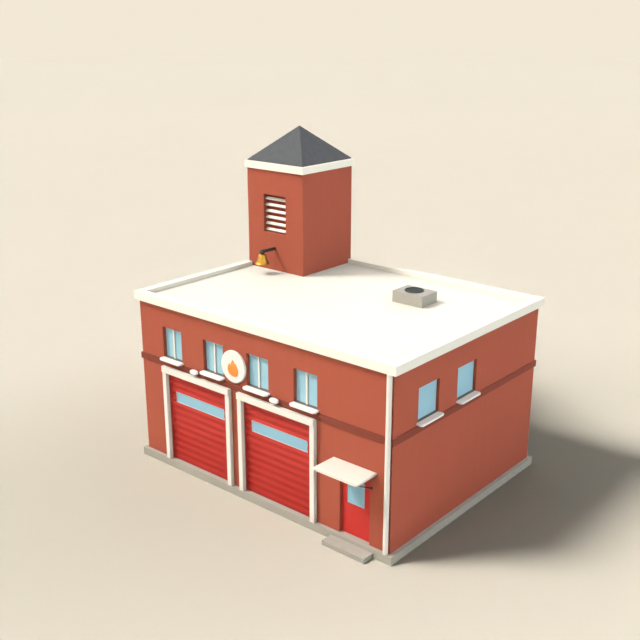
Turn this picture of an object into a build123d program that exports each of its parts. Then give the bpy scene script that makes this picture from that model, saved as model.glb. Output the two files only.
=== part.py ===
"""Two-storey fire station with a hose tower, in millimetres, +Z up.

The front is towards -Y. Positions along the front (x) and depth (y) are written from
the outer front-left corner of the walls and moved to the row's origin, the centre of
the walls' plan at the underside of the plinth, by the helpers below.
"""

from build123d import *
import os

os.makedirs("parts", exist_ok=True)

# ---------------------------------------------------------------- driving dimensions
W, D = 12000.0, 9040.0            # walls, outside
WALL = 300.0                      # main wall thickness
PLINTH_H, PLINTH_OUT = 300.0, 150.0
WALL_TOP = 6520.0                 # underside of the cornice
DECK = 6675.0                     # roof deck
RIM_TOP, RIM_OUT, RIM_IN = 6840.0, 145.0, 175.0
FLOOR1_LO, FLOOR1_HI = 4130.0, 4370.0   # first floor, and the band that marks it outside
BAND_OUT = 50.0

WIN_FOOT, SILL_TOP = 4455.0, 4480.0           # foot of the openings, top of sill and ledge
WIN_X = [1780.0, 3990.0, 6200.0, 8400.0]      # front and back windows, centres
WIN_W, WIN_HI = 1040.0, 5680.0
WIN_SIDE_Y = [1915.0, 4195.0]                 # side windows, centres
WIN_SIDE_W, WIN_SIDE_HI = 1180.0, 5650.0
GLASS_T = 24.0
GLASS_IN, GLASS_SIDE_IN = 150.0, 115.0        # face of the panes behind the wall face
MULLION_OFF, MULLION_W, MULLION_IN = -35.0, 75.0, 110.0
SILL_X = [1805.0, 4015.0, 6225.0, 8425.0]     # front and back sills, centres
SILL_W, SILL_OUT, SILL_LO = 1160.0, 240.0, 4405.0
SILL_SIDE = [(1230.0, 2510.0), (3560.0, 4800.0)]

BAYS = [(1470.0, 4690.0), (5490.0, 8702.0)]   # bay openings along x
BAY_TOP = 3915.0
POST_W, POST_OUT = 190.0, 150.0
LINTEL_OUT, LINTEL_HI = 185.0, 4150.0
DOOR_IN, DOOR_T = 45.0, 60.0                  # bay door curtain behind the wall face
STRIP_LO, STRIP_HI, STRIP_HALF, STRIP_OFF = 2745.0, 3175.0, 1310.0, 35.0

ENT_X0, ENT_X1, ENT_TOP = 9900.0, 11160.0, 2600.0   # entrance opening
LEAF_Y0, LEAF_T = 120.0, 50.0
LEAF_GAP = 10.0
HINGE_X, HINGE_Y, HINGE_R = 9920.0, 102.0, 12.0
HINGE_Z = [560.0, 1450.0, 2340.0]
PANE_X0, PANE_X1, PANE_LO, PANE_HI = 10120.0, 10860.0, 1460.0, 2380.0

TX1, TY0 = 3050.0, 5950.0                     # tower: right face and front face
T_WALL = 250.0
T_TOP, T_CAP_TOP, T_CAP_OUT, T_ROOF_IN, T_APEX = 10810.0, 11120.0, 80.0, 90.0, 12487.0
LOUVRE_X0, LOUVRE_X1, LOUVRE_LO, LOUVRE_HI = 900.0, 2125.0, 8250.0, 9820.0

BELL_X, BELL_Y, BELL_AXIS_Z = 1490.0, 5200.0, 7610.0


def box(x0, x1, y0, y1, z0, z1):
    """Box between two corners given from the front-left wall corner."""
    return Pos((x0 + x1) / 2 - W / 2, (y0 + y1) / 2 - D / 2, (z0 + z1) / 2) * Box(
        x1 - x0, y1 - y0, z1 - z0
    )


def at(x, y, z):
    return Pos(x - W / 2, y - D / 2, z)


def cyl_y(x, y0, y1, z, r):
    """Cylinder along Y."""
    return at(x, (y0 + y1) / 2, z) * Rot(90, 0, 0) * Cylinder(r, y1 - y0)


def cyl_z(x, y, z0, z1, r):
    return at(x, y, (z0 + z1) / 2) * Cylinder(r, z1 - z0)


def save(name, *solids):
    shape = solids[0] if len(solids) == 1 else Compound(children=list(solids))
    export_step(shape, f"parts/{name}.step")


# ---------------------------------------------------------------- ground
save("foundation_slab", box(-PLINTH_OUT, W + PLINTH_OUT, -PLINTH_OUT, D + PLINTH_OUT, 0, PLINTH_H))
step = box(9650, 11410, -620, -PLINTH_OUT, 0, 170)
save("door_step", step)

# ---------------------------------------------------------------- front wall
edges = [0.0, BAYS[0][0], BAYS[0][1], BAYS[1][0], BAYS[1][1], ENT_X0, ENT_X1, W]
save(
    "front_wall_piers",
    *[box(edges[i], edges[i + 1], 0, WALL, PLINTH_H, BAY_TOP) for i in (0, 2, 4, 6)],
)
save("front_wall_door_head", box(ENT_X0, ENT_X1, 0, WALL, ENT_TOP, BAY_TOP))
save("front_wall_band", box(0, W, 0, WALL, BAY_TOP, WIN_FOOT))
upper = box(0, W, 0, WALL, WIN_FOOT, WALL_TOP)
for x in WIN_X:
    upper -= box(x - WIN_W / 2, x + WIN_W / 2, -10, WALL + 10, WIN_FOOT - 10, WIN_HI)
save("front_wall_upper", upper)

# ---------------------------------------------------------------- other walls
for name, x0, x1 in (("right_wall", W - WALL, W), ("left_wall", 0.0, WALL)):
    side = box(x0, x1, WALL, D - WALL, PLINTH_H, WALL_TOP)
    for y in WIN_SIDE_Y:
        side -= box(x0 - 10, x1 + 10, y - WIN_SIDE_W / 2, y + WIN_SIDE_W / 2, WIN_FOOT, WIN_SIDE_HI)
    save(name, side)
back = box(0, W, D - WALL, D, PLINTH_H, WALL_TOP)
for x in WIN_X:
    back -= box(x - WIN_W / 2, x + WIN_W / 2, D - WALL - 10, D + 10, WIN_FOOT, WIN_HI)
save("back_wall", back)

# ---------------------------------------------------------------- floors, roof, cornice
save("first_floor_slab", box(WALL, W - WALL, WALL, D - WALL, FLOOR1_LO, FLOOR1_HI))
save("roof_slab", box(RIM_IN, W - RIM_IN, RIM_IN, D - RIM_IN, WALL_TOP, DECK))
save(
    "roof_cornice",
    box(-RIM_OUT, W + RIM_OUT, -RIM_OUT, RIM_IN, WALL_TOP, RIM_TOP),
    box(-RIM_OUT, W + RIM_OUT, D - RIM_IN, D + RIM_OUT, WALL_TOP, RIM_TOP),
    box(-RIM_OUT, RIM_IN, RIM_IN, D - RIM_IN, WALL_TOP, RIM_TOP),
    box(W - RIM_IN, W + RIM_OUT, RIM_IN, D - RIM_IN, WALL_TOP, RIM_TOP),
)
PIPE_X, PIPE_R = 11880.0, 90.0
save(
    "string_course",
    box(-BAND_OUT, PIPE_X - PIPE_R - 5, -BAND_OUT, 0, FLOOR1_LO, FLOOR1_HI),
    box(PIPE_X + PIPE_R + 5, W, -BAND_OUT, 0, FLOOR1_LO, FLOOR1_HI),
    box(W, W + BAND_OUT, -BAND_OUT, D + BAND_OUT, FLOOR1_LO, FLOOR1_HI),
    box(-BAND_OUT, W, D, D + BAND_OUT, FLOOR1_LO, FLOOR1_HI),
    box(-BAND_OUT, 0, 0, D, FLOOR1_LO, FLOOR1_HI),
)

# ---------------------------------------------------------------- windows
glass, sills, mullions = [], [], []
for x, c in zip(WIN_X, SILL_X):
    a, b = x - WIN_W / 2, x + WIN_W / 2
    glass.append(box(a, b, GLASS_IN, GLASS_IN + GLASS_T, SILL_TOP, WIN_HI))
    glass.append(box(a, b, D - GLASS_IN - GLASS_T, D - GLASS_IN, SILL_TOP, WIN_HI))
    m0, m1 = x + MULLION_OFF - MULLION_W / 2, x + MULLION_OFF + MULLION_W / 2
    mullions.append(box(m0, m1, MULLION_IN, GLASS_IN, SILL_TOP, WIN_HI))
    mullions.append(box(m0, m1, D - GLASS_IN, D - MULLION_IN, SILL_TOP, WIN_HI))
    # each sill: the projecting stone and the thin ledge that runs through the reveal
    s0, s1 = c - SILL_W / 2, c + SILL_W / 2
    sills.append(box(s0, s1, -SILL_OUT, 0, SILL_LO, SILL_TOP) + box(a, b, 0, WALL, WIN_FOOT, SILL_TOP))
    sills.append(box(s0, s1, D, D + SILL_OUT, SILL_LO, SILL_TOP) + box(a, b, D - WALL, D, WIN_FOOT, SILL_TOP))
for y, (s0, s1) in zip(WIN_SIDE_Y, SILL_SIDE):
    a, b = y - WIN_SIDE_W / 2, y + WIN_SIDE_W / 2
    g0, g1 = GLASS_SIDE_IN, GLASS_SIDE_IN + GLASS_T
    glass.append(box(W - g1, W - g0, a, b, SILL_TOP, WIN_SIDE_HI))
    glass.append(box(g0, g1, a, b, SILL_TOP, WIN_SIDE_HI))
    sills.append(box(W, W + SILL_OUT, s0, s1, SILL_LO, SILL_TOP) + box(W - WALL, W, a, b, WIN_FOOT, SILL_TOP))
    sills.append(box(-SILL_OUT, 0, s0, s1, SILL_LO, SILL_TOP) + box(0, WALL, a, b, WIN_FOOT, SILL_TOP))
save("window_glass", *glass)
save("window_sills", *sills)
save("window_mullions", *mullions)

# ---------------------------------------------------------------- vehicle bays
posts, lintels, panels, stiles, strips, lamps = [], [], [], [], [], []
for x0, x1 in BAYS:
    c = (x0 + x1) / 2
    posts.append(box(x0 - POST_W, x0, -POST_OUT, 0, PLINTH_H, BAY_TOP))
    posts.append(box(x1, x1 + POST_W, -POST_OUT, 0, PLINTH_H, BAY_TOP))
    # the lintel stands in front of the band and is built in under it
    lintels.append(
        box(x0 - POST_W, x1 + POST_W, -LINTEL_OUT, -BAND_OUT, BAY_TOP, LINTEL_HI)
        + box(x0 - POST_W, x1 + POST_W, -BAND_OUT, 0, BAY_TOP, FLOOR1_LO)
    )
    y0, y1 = DOOR_IN, DOOR_IN + DOOR_T
    panels.append(box(x0, x1, y0, y1, PLINTH_H, STRIP_LO))
    panels.append(box(x0, x1, y0, y1, STRIP_HI, BAY_TOP))
    s0, s1 = c + STRIP_OFF - STRIP_HALF, c + STRIP_OFF + STRIP_HALF
    stiles.append(box(x0, s0, y0, y1, STRIP_LO, STRIP_HI))
    stiles.append(box(s1, x1, y0, y1, STRIP_LO, STRIP_HI))
    strips.append(box(s0, s1, y0 + 18, y0 + 42, STRIP_LO, STRIP_HI))
    l = c + 30
    lamp = box(l - 190, l + 190, -265, -58, 4254, 4440)
    lamp = fillet(lamp.edges(), 75)
    lamps.append(lamp + box(l - 110, l + 110, -75, -BAND_OUT, 4290, 4368))
save("bay_posts", *posts)
save("bay_lintels", *lintels)
save("bay_door_panels", *panels)
save("bay_door_stiles", *stiles)
save("bay_door_glass", *strips)
save("bay_lamps", *lamps)

# ---------------------------------------------------------------- round sign
SIGN_X, SIGN_Z, SIGN_R, SIGN_OUT = 5075.0, 5035.0, 600.0, 80.0
save("sign_disc", cyl_y(SIGN_X, -SIGN_OUT, 0, SIGN_Z, SIGN_R))
flame_pts = [
    (-85, -318), (-190, -262), (-246, -130), (-228, 0), (-150, 112), (-122, 20), (-78, 120), (5, 280),
    (62, 205), (85, 115), (122, 165), (205, 50), (258, -110), (232, -250), (130, -338), (20, -345),
]
flame = Polyline([(x, z) for x, z in flame_pts], close=True)
flame_solid = extrude(Plane.XZ * make_face(flame), 16)
save("sign_emblem", at(SIGN_X, -SIGN_OUT, SIGN_Z) * flame_solid)

# ---------------------------------------------------------------- entrance
fy0, fy1 = 180.0, 260.0
save(
    "door_frame",
    box(ENT_X0, ENT_X0 + 60, fy0, fy1, PLINTH_H, ENT_TOP),
    box(ENT_X1 - 60, ENT_X1, fy0, fy1, PLINTH_H, ENT_TOP),
    box(ENT_X0 + 60, ENT_X1 - 60, fy0, fy1, ENT_TOP - 60, ENT_TOP),
)
lx0, lx1 = ENT_X0 + LEAF_GAP, ENT_X1 - LEAF_GAP
leaf = box(lx0, lx1, LEAF_Y0, LEAF_Y0 + LEAF_T, PLINTH_H + 8, ENT_TOP - LEAF_GAP)
leaf -= box(PANE_X0, PANE_X1, LEAF_Y0 - 10, LEAF_Y0 + LEAF_T + 10, PANE_LO, PANE_HI)
save("entrance_door", leaf)
save(
    "entrance_door_glass",
    box(PANE_X0, PANE_X1, LEAF_Y0 + 13, LEAF_Y0 + 37, PANE_LO, PANE_HI),
)
fixed, moving = [], []
for z in HINGE_Z:
    moving.append(
        cyl_z(HINGE_X, HINGE_Y, z - 35, z + 35, HINGE_R)
        + box(HINGE_X - 8, HINGE_X + 8, HINGE_Y, LEAF_Y0, z - 35, z + 35)
    )
    for lo, hi in ((z - 76, z - 41), (z + 41, z + 76)):
        fixed.append(
            cyl_z(HINGE_X, HINGE_Y, lo, hi, HINGE_R)
            + box(ENT_X0, HINGE_X, HINGE_Y - 7, HINGE_Y + 7, lo, hi)
        )
save("door_hinge_brackets", *fixed)
save("entrance_door_hinges", *moving)
hx, hz = 11060.0, 1330.0
handles = []
for s, y in ((-1, LEAF_Y0), (1, LEAF_Y0 + LEAF_T)):
    ya, yb = sorted((y, y + s * 55))
    yc, yd = sorted((y + s * 40, y + s * 60))
    handles.append(cyl_y(hx, ya, yb, hz, 11) + box(hx - 110, hx + 11, yc, yd, hz - 11, hz + 11))
save("entrance_door_handle", *handles)

canopy = box(9610, 11415, -1020, 0, 2920, 3010)
save("canopy_slab", canopy)
struts = []
for x in (9835.0, 11225.0):
    foot, head = Vector(x - W / 2, -30 - D / 2, 2418), Vector(x - W / 2, -880 - D / 2, 2875)
    line = head - foot
    rod = Plane(origin=(foot + head) * 0.5, z_dir=line) * Cylinder(22, line.length)
    plate = box(x - 25, x + 25, -12, 0, 2380, 2460)
    lug = box(x - 18, x + 18, -44, -10, 2395, 2445)
    top = box(x - 40, x + 40, -950, -820, 2888, 2920)
    pad = box(x - 22, x + 22, -900, -856, 2862, 2890)
    struts.append(plate + lug + rod + pad + top)
save("canopy_struts", *struts)
save("downpipe", cyl_z(PIPE_X, -PIPE_R, PLINTH_H, WALL_TOP, PIPE_R))

# ---------------------------------------------------------------- hose tower
CUT = box(-500, RIM_IN, 0, D + 500, 0, RIM_TOP) + box(-500, TX1 + 500, D - RIM_IN, D + 500, 0, RIM_TOP)
pier_l = box(0, LOUVRE_X0, TY0, TY0 + T_WALL, DECK, T_TOP) - CUT
save("tower_front_piers", pier_l, box(LOUVRE_X1, TX1, TY0, TY0 + T_WALL, DECK, T_TOP))
save(
    "tower_front_panels",
    box(LOUVRE_X0, LOUVRE_X1, TY0, TY0 + T_WALL, DECK, LOUVRE_LO),
    box(LOUVRE_X0, LOUVRE_X1, TY0, TY0 + T_WALL, LOUVRE_HI, T_TOP),
)
save(
    "tower_side_walls",
    box(0, T_WALL, TY0 + T_WALL, D - T_WALL, RIM_TOP, T_TOP),
    box(TX1 - T_WALL, TX1, TY0 + T_WALL, D - T_WALL, DECK, T_TOP),
)
save("tower_back_wall", box(0, TX1, D - T_WALL, D, DECK, T_TOP) - CUT)
slats = []
for k in range(6):
    z = 9630.0 - 258.0 * k
    slats.append(
        at((LOUVRE_X0 + LOUVRE_X1) / 2, TY0 + 175, z)
        * Rot(35, 0, 0)
        * Box(LOUVRE_X1 - LOUVRE_X0, 130, 45)
    )
# red boards on the inside of the wall close the opening behind the slats
slats.append(box(LOUVRE_X0 - 40, LOUVRE_X1 + 40, TY0 + 250, TY0 + 274, LOUVRE_LO - 40, LOUVRE_HI + 40))
save("tower_louvre", *slats)
save(
    "tower_cornice",
    box(-T_CAP_OUT, TX1 + T_CAP_OUT, TY0 - T_CAP_OUT, D + T_CAP_OUT, T_TOP, T_CAP_TOP),
)
ta, tb = -T_CAP_OUT + T_ROOF_IN, TX1 + T_CAP_OUT - T_ROOF_IN
tc, td = TY0 - T_CAP_OUT + T_ROOF_IN, D + T_CAP_OUT - T_ROOF_IN
base = at((ta + tb) / 2, (tc + td) / 2, T_CAP_TOP) * Rectangle(tb - ta, td - tc)
tip = at((ta + tb) / 2, (tc + td) / 2, T_APEX) * Rectangle(6, 6)
save("tower_roof", loft([base.face(), tip.face()]))

# ---------------------------------------------------------------- bell on its arm
save("bell_arm", cyl_y(BELL_X, BELL_Y + 82, TY0, BELL_AXIS_Z, 66))
head = cyl_y(BELL_X, BELL_Y - 76, BELL_Y + 76, BELL_AXIS_Z, 86)
head = fillet(head.edges().filter_by(GeomType.CIRCLE), 40)
head += cyl_z(BELL_X, BELL_Y, 7508, BELL_AXIS_Z, 42)
save("bell_headstock", head)
outer = [(0, 400), (121, 400), (149, 380), (162, 330), (201, 190), (240, 80), (290, 12), (292, 0)]
inner = [(266, 0), (259, 14), (214, 84), (175, 196), (136, 330), (125, 368), (112, 378), (0, 378)]
section = make_face(Polyline([(r, z) for r, z in outer + inner], close=True))
bell = revolve(Plane.XZ * section, Axis.Z)
save("bell", at(BELL_X, BELL_Y, 7108) * bell)
clapper = cyl_z(BELL_X, BELL_Y, 7190, 7486, 14) + at(BELL_X, BELL_Y, 7180) * Sphere(48)
save("bell_clapper", clapper)

# ---------------------------------------------------------------- rooftop unit
save("rooftop_unit", box(7820, 9140, 5560, 6540, DECK, 7100))
save("rooftop_unit_fan", cyl_z(8445, 6065, 7100, 7140, 355))
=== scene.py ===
"""Looks of the fire station: detailed meshes, procedural materials, light and camera.

Lengths are metres. Positions along the front (x) and depth (y) are written from the outer
front-left corner of the walls, as in the construction, and moved to the row frame by at().
"""

import math

import bmesh
import bpy
from mathutils import Matrix, Vector


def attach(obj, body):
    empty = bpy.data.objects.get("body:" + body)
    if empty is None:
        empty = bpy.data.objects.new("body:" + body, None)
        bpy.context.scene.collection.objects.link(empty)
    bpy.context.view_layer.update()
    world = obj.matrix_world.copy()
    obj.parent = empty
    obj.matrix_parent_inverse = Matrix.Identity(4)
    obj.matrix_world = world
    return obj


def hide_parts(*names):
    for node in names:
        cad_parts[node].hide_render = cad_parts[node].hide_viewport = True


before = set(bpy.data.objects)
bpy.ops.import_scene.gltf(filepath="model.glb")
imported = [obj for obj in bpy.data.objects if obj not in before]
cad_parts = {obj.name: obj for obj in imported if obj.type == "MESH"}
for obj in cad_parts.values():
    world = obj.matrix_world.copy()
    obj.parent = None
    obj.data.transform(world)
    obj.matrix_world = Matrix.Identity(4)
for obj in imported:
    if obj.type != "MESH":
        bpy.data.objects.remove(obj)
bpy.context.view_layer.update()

OX, OY = 6.0, 4.52


def at(x, y, z):
    return Vector((x - OX, y - OY, z))


# ------------------------------------------------------------------ materials
class Surface:
    """A small helper round one Principled material with node-made variation."""

    def __init__(self, name):
        self.m = bpy.data.materials.new(name)
        self.m.use_nodes = True
        self.t = self.m.node_tree
        self.b = self.t.nodes["Principled BSDF"]
        self.coord = self.t.nodes.new("ShaderNodeTexCoord").outputs["Object"]

    def node(self, kind, **props):
        n = self.t.nodes.new(kind)
        for k, v in props.items():
            setattr(n, k, v)
        return n

    def link(self, a, b):
        self.t.links.new(a, b)

    def math(self, op, a, b=None, clamp=False):
        n = self.node("ShaderNodeMath", operation=op, use_clamp=clamp)
        for i, v in enumerate((a, b)):
            if v is None:
                continue
            if isinstance(v, (int, float)):
                n.inputs[i].default_value = v
            else:
                self.link(v, n.inputs[i])
        return n.outputs[0]

    def stretch(self, x, y, z):
        n = self.node("ShaderNodeMapping")
        n.inputs["Scale"].default_value = (x, y, z)
        self.link(self.coord, n.inputs["Vector"])
        return n.outputs[0]

    def noise(self, scale, detail=3.0, rough=0.55, vec=None, distortion=0.0):
        n = self.node("ShaderNodeTexNoise")
        n.inputs["Scale"].default_value = scale
        n.inputs["Detail"].default_value = detail
        n.inputs["Roughness"].default_value = rough
        n.inputs["Distortion"].default_value = distortion
        self.link(vec or self.coord, n.inputs["Vector"])
        return n.outputs["Fac"]

    def ramp(self, fac, stops):
        n = self.node("ShaderNodeValToRGB")
        el = n.color_ramp.elements
        while len(el) < len(stops):
            el.new(0.5)
        for e, (p, c) in zip(el, stops):
            e.position = p
            e.color = (*c, 1.0) if len(c) == 3 else c
        self.link(fac, n.inputs["Fac"])
        return n.outputs["Color"]

    def remap(self, v, a, b, c=0.0, d=1.0, smooth=True):
        n = self.node("ShaderNodeMapRange", interpolation_type="SMOOTHSTEP" if smooth else "LINEAR")
        for i, x in enumerate((a, b, c, d)):
            n.inputs[i + 1].default_value = x
        self.link(v, n.inputs[0])
        return n.outputs[0]

    def split(self, vec=None):
        n = self.node("ShaderNodeSeparateXYZ")
        self.link(vec or self.coord, n.inputs[0])
        return n.outputs

    def mix(self, fac, a, b, blend="MIX"):
        n = self.node("ShaderNodeMix", data_type="RGBA", blend_type=blend)
        for i, v in ((0, fac), (6, a), (7, b)):
            if isinstance(v, (int, float)):
                n.inputs[i].default_value = v
            elif isinstance(v, tuple):
                n.inputs[i].default_value = (*v, 1.0)
            else:
                self.link(v, n.inputs[i])
        return n.outputs[2]

    def varied(self, terms):
        """1 + sum of amount * (value - 0.5) * 2, as one number."""
        total = None
        for value, amount in terms:
            t = self.math("MULTIPLY", self.math("SUBTRACT", value, 0.5), 2.0 * amount)
            total = t if total is None else self.math("ADD", total, t)
        return self.math("ADD", total, 1.0)

    def times(self, colour, value):
        n = self.node("ShaderNodeVectorMath", operation="SCALE")
        if isinstance(colour, tuple):
            n.inputs[0].default_value = colour
        else:
            self.link(colour, n.inputs[0])
        self.link(value, n.inputs["Scale"])
        return n.outputs[0]

    def bump(self, height, distance, strength=1.0, after=None):
        n = self.node("ShaderNodeBump")
        n.inputs["Distance"].default_value = distance
        n.inputs["Strength"].default_value = strength
        self.link(height, n.inputs["Height"])
        if after is not None:
            self.link(after, n.inputs["Normal"])
        return n.outputs["Normal"]

    def set(self, **values):
        for k, v in values.items():
            s = self.b.inputs[k.replace("_", " ")]
            if isinstance(v, (int, float)):
                s.default_value = v
            elif isinstance(v, tuple):
                s.default_value = (*v, 1.0) if len(v) == 3 else v
            else:
                self.link(v, s)
        return self.m


def painted_masonry(name, base, base_alt, foot_darkening, foot=True):
    """Smooth painted render: fine sand grain, trowel waves, soft tonal drift, faint runs of rain."""
    s = Surface(name)
    drift = s.noise(0.33, 2.0, 0.5)
    cloud = s.noise(2.1, 4.0, 0.6)
    runs = s.noise(1.0, 3.0, 0.6, vec=s.stretch(5.5, 5.5, 0.30))
    sand = s.noise(85.0, 3.0, 0.7)
    trowel = s.noise(6.5, 3.0, 0.5, vec=s.stretch(1.0, 1.0, 1.9))
    tone = s.varied([(drift, 0.045), (cloud, 0.045), (runs, 0.04), (sand, 0.06)])
    col = s.mix(s.remap(drift, 0.35, 0.65), base, base_alt)
    # darker towards the foot of the wall
    if foot:
        z = s.split()[2]
        edge = s.math("ADD", z, s.math("MULTIPLY", s.math("SUBTRACT", cloud, 0.5), 0.7))
        col = s.mix(s.remap(edge, 1.35, 0.25, 0.0, 0.55), col, foot_darkening)
    col = s.times(col, tone)
    n = s.bump(trowel, 0.006, 0.35)
    n = s.bump(sand, 0.0022, 0.55, after=n)
    rough = s.remap(cloud, 0.3, 0.7, 0.84, 0.94)
    return s.set(Base_Color=col, Roughness=rough, Normal=n, Specular_IOR_Level=0.25)


def smooth_coat(name, base, base_alt, rough=(0.42, 0.56), grain=90.0, foot_tone_and_sheen=None, spec=0.4, coat=0.0, level=None, vary=1.0):
    """Satin paint on metal or boards: slight orange peel, gentle tone drift, an optional tone darker towards the foot,
    which on the shutter curtain is a painted sheen lighter towards the top, and an optional tone on level faces, which
    on the rooftop unit is painted shade.
    """
    s = Surface(name)
    drift = s.noise(0.8, 2.0, 0.5)
    cloud = s.noise(5.0, 4.0, 0.6)
    runs = s.noise(1.0, 3.0, 0.55, vec=s.stretch(16.0, 16.0, 0.9))
    peel = s.noise(grain, 2.0, 0.5)
    tone = s.varied([(drift, 0.02 * vary), (cloud, 0.022 * vary), (runs, 0.018 * vary), (peel, 0.014 * vary)])
    col = s.mix(s.remap(cloud, 0.3, 0.72), base, base_alt)
    # level faces take the level tone; on the rooftop unit this is a darker top, painted shade
    if level is not None:
        up = s.split(s.node("ShaderNodeNewGeometry").outputs["Normal"])[2]
        col = s.mix(s.remap(up, 0.55, 0.92), col, level)
    # tone darker lower down; on the shutter curtain it spans the full height, so its lighter upper part is a painted
    # sheen
    if foot_tone_and_sheen is not None:
        colour, low, high, amount = foot_tone_and_sheen
        z = s.split()[2]
        edge = s.math("ADD", z, s.math("MULTIPLY", s.math("SUBTRACT", cloud, 0.5), 0.25))
        col = s.mix(s.remap(edge, high, low, 0.0, amount), col, colour)
    col = s.times(col, tone)
    n = s.bump(peel, 0.0012, 0.4)
    r = s.remap(cloud, 0.25, 0.75, rough[0], rough[1])
    return s.set(Base_Color=col, Roughness=r, Normal=n, Specular_IOR_Level=spec, Coat_Weight=coat, Coat_Roughness=0.2)


def cast_concrete(name, base, base_alt, dark, dust):
    """Fair-faced concrete: cloudy tone, pin holes, a sandy grain and a paler tone on the level faces, part dust and
    part painted top light.
    """
    s = Surface(name)
    drift = s.noise(0.7, 3.0, 0.55)
    cloud = s.noise(4.0, 5.0, 0.65)
    sand = s.noise(70.0, 4.0, 0.7)
    v = s.node("ShaderNodeTexVoronoi", feature="F1")
    v.inputs["Scale"].default_value = 26.0
    s.link(s.coord, v.inputs["Vector"])
    pores = s.remap(v.outputs["Distance"], 0.05, 0.16, 1.0, 0.0)
    gate = s.remap(s.noise(9.0, 2.0), 0.52, 0.62)
    pores = s.math("MULTIPLY", pores, gate)
    col = s.mix(s.remap(drift, 0.3, 0.7), base, base_alt)
    col = s.mix(s.math("MULTIPLY", pores, 0.45), col, dark)
    # level faces take the paler tone: part dust, part painted light on the tops
    level = s.split(s.node("ShaderNodeNewGeometry").outputs["Normal"])[2]
    col = s.mix(s.math("MULTIPLY", s.remap(level, 0.55, 0.92), s.remap(cloud, 0.1, 0.5, 0.75, 1.0)), col, dust)
    col = s.times(col, s.varied([(cloud, 0.07), (sand, 0.09), (drift, 0.03)]))
    n = s.bump(cloud, 0.006, 0.3)
    n = s.bump(s.math("SUBTRACT", sand, pores), 0.003, 0.6, after=n)
    r = s.remap(cloud, 0.3, 0.7, 0.78, 0.92)
    return s.set(Base_Color=col, Roughness=r, Normal=n, Specular_IOR_Level=0.3)


def tinted_glass(name, base, base_alt):
    """Pale blue tinted pane with soft sky tones and a hint of float waviness."""
    s = Surface(name)
    sky = s.noise(0.9, 2.0, 0.5)
    film = s.noise(14.0, 4.0, 0.6)
    wave = s.noise(3.2, 1.0, 0.4)
    col = s.mix(s.remap(sky, 0.3, 0.7), base, base_alt)
    col = s.times(col, s.varied([(sky, 0.03), (film, 0.018)]))
    r = s.remap(film, 0.35, 0.75, 0.06, 0.16)
    n = s.bump(wave, 0.004, 0.15)
    return s.set(Base_Color=col, Roughness=r, Normal=n, IOR=1.5, Specular_IOR_Level=0.5, Transmission_Weight=0.12)


def roof_membrane(name, base, base_alt, grime):
    """White single-ply membrane: cloudy tone, fine grain and the odd puddle ring."""
    s = Surface(name)
    drift = s.noise(0.5, 3.0, 0.6)
    cloud = s.noise(3.5, 5.0, 0.6, distortion=0.4)
    grain = s.noise(130.0, 2.0, 0.5)
    ring = s.remap(s.math("ABSOLUTE", s.math("SUBTRACT", drift, 0.56)), 0.0, 0.02, 1.0, 0.0)
    col = s.mix(s.remap(cloud, 0.35, 0.75), base, base_alt)
    col = s.mix(s.math("MULTIPLY", ring, 0.22), col, grime)
    col = s.times(col, s.varied([(drift, 0.02), (cloud, 0.018), (grain, 0.012)]))
    n = s.bump(grain, 0.0012, 0.4)
    n = s.bump(cloud, 0.004, 0.25, after=n)
    r = s.remap(cloud, 0.3, 0.7, 0.55, 0.7)
    return s.set(Base_Color=col, Roughness=r, Normal=n, Specular_IOR_Level=0.35)


def metal(name, base, base_alt, rough, metallic=1.0, spec=0.5, patina=None, fine=60.0):
    """Metal with cloudy polish, fine scratches and, on the bell, a thin patina in the low places."""
    s = Surface(name)
    cloud = s.noise(7.0, 4.0, 0.6)
    scratch = s.noise(1.0, 3.0, 0.6, vec=s.stretch(fine, fine, fine * 4))
    col = s.mix(s.remap(cloud, 0.35, 0.7), base, base_alt)
    if patina is not None:
        col = s.mix(s.math("MULTIPLY", s.remap(s.noise(18.0, 4.0, 0.65), 0.55, 0.75), 0.35), col, patina)
    col = s.times(col, s.varied([(cloud, 0.04), (scratch, 0.03)]))
    r = s.math("ADD", s.remap(cloud, 0.3, 0.7, rough[0], rough[1]), s.math("MULTIPLY", scratch, 0.06))
    n = s.bump(scratch, 0.0006, 0.35)
    return s.set(Base_Color=col, Roughness=r, Normal=n, Metallic=metallic, Specular_IOR_Level=spec)


def opal(name, base, base_alt):
    s = Surface(name)
    cloud = s.noise(9.0, 3.0, 0.5)
    peel = s.noise(60.0, 2.0, 0.5)
    col = s.times(s.mix(s.remap(cloud, 0.3, 0.7), base, base_alt), s.varied([(cloud, 0.012), (peel, 0.01)]))
    n = s.bump(peel, 0.0008, 0.3)
    r = s.remap(cloud, 0.3, 0.7, 0.24, 0.34)
    return s.set(
        Base_Color=col, Roughness=r, Normal=n, Specular_IOR_Level=0.5, Subsurface_Weight=0.15,
        Subsurface_Scale=0.03, Emission_Color=(1.0, 0.95, 0.87), Emission_Strength=0.12,
    )


def flame_paint(name):
    """Enamelled orange, warmer at the foot and lighter towards the tips."""
    s = Surface(name)
    z = s.split()[2]
    up = s.remap(z, 4.80, 5.34)
    cloud = s.noise(12.0, 3.0, 0.5)
    peel = s.noise(120.0, 2.0, 0.5)
    col = s.mix(up, (0.80, 0.272, 0.0450), (0.84, 0.375, 0.0870))
    col = s.times(col, s.varied([(cloud, 0.03), (peel, 0.015)]))
    return s.set(Base_Color=col, Roughness=s.remap(cloud, 0.3, 0.7, 0.34, 0.46), Normal=s.bump(peel, 0.0008, 0.3))


def rubber(name, base, base_alt):
    s = Surface(name)
    cloud = s.noise(20.0, 3.0, 0.6)
    grain = s.noise(160.0, 2.0, 0.5)
    col = s.times(s.mix(s.remap(cloud, 0.3, 0.7), base, base_alt), s.varied([(cloud, 0.05), (grain, 0.05)]))
    return s.set(Base_Color=col, Roughness=s.remap(cloud, 0.3, 0.7, 0.62, 0.8), Normal=s.bump(grain, 0.001, 0.4))


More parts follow.
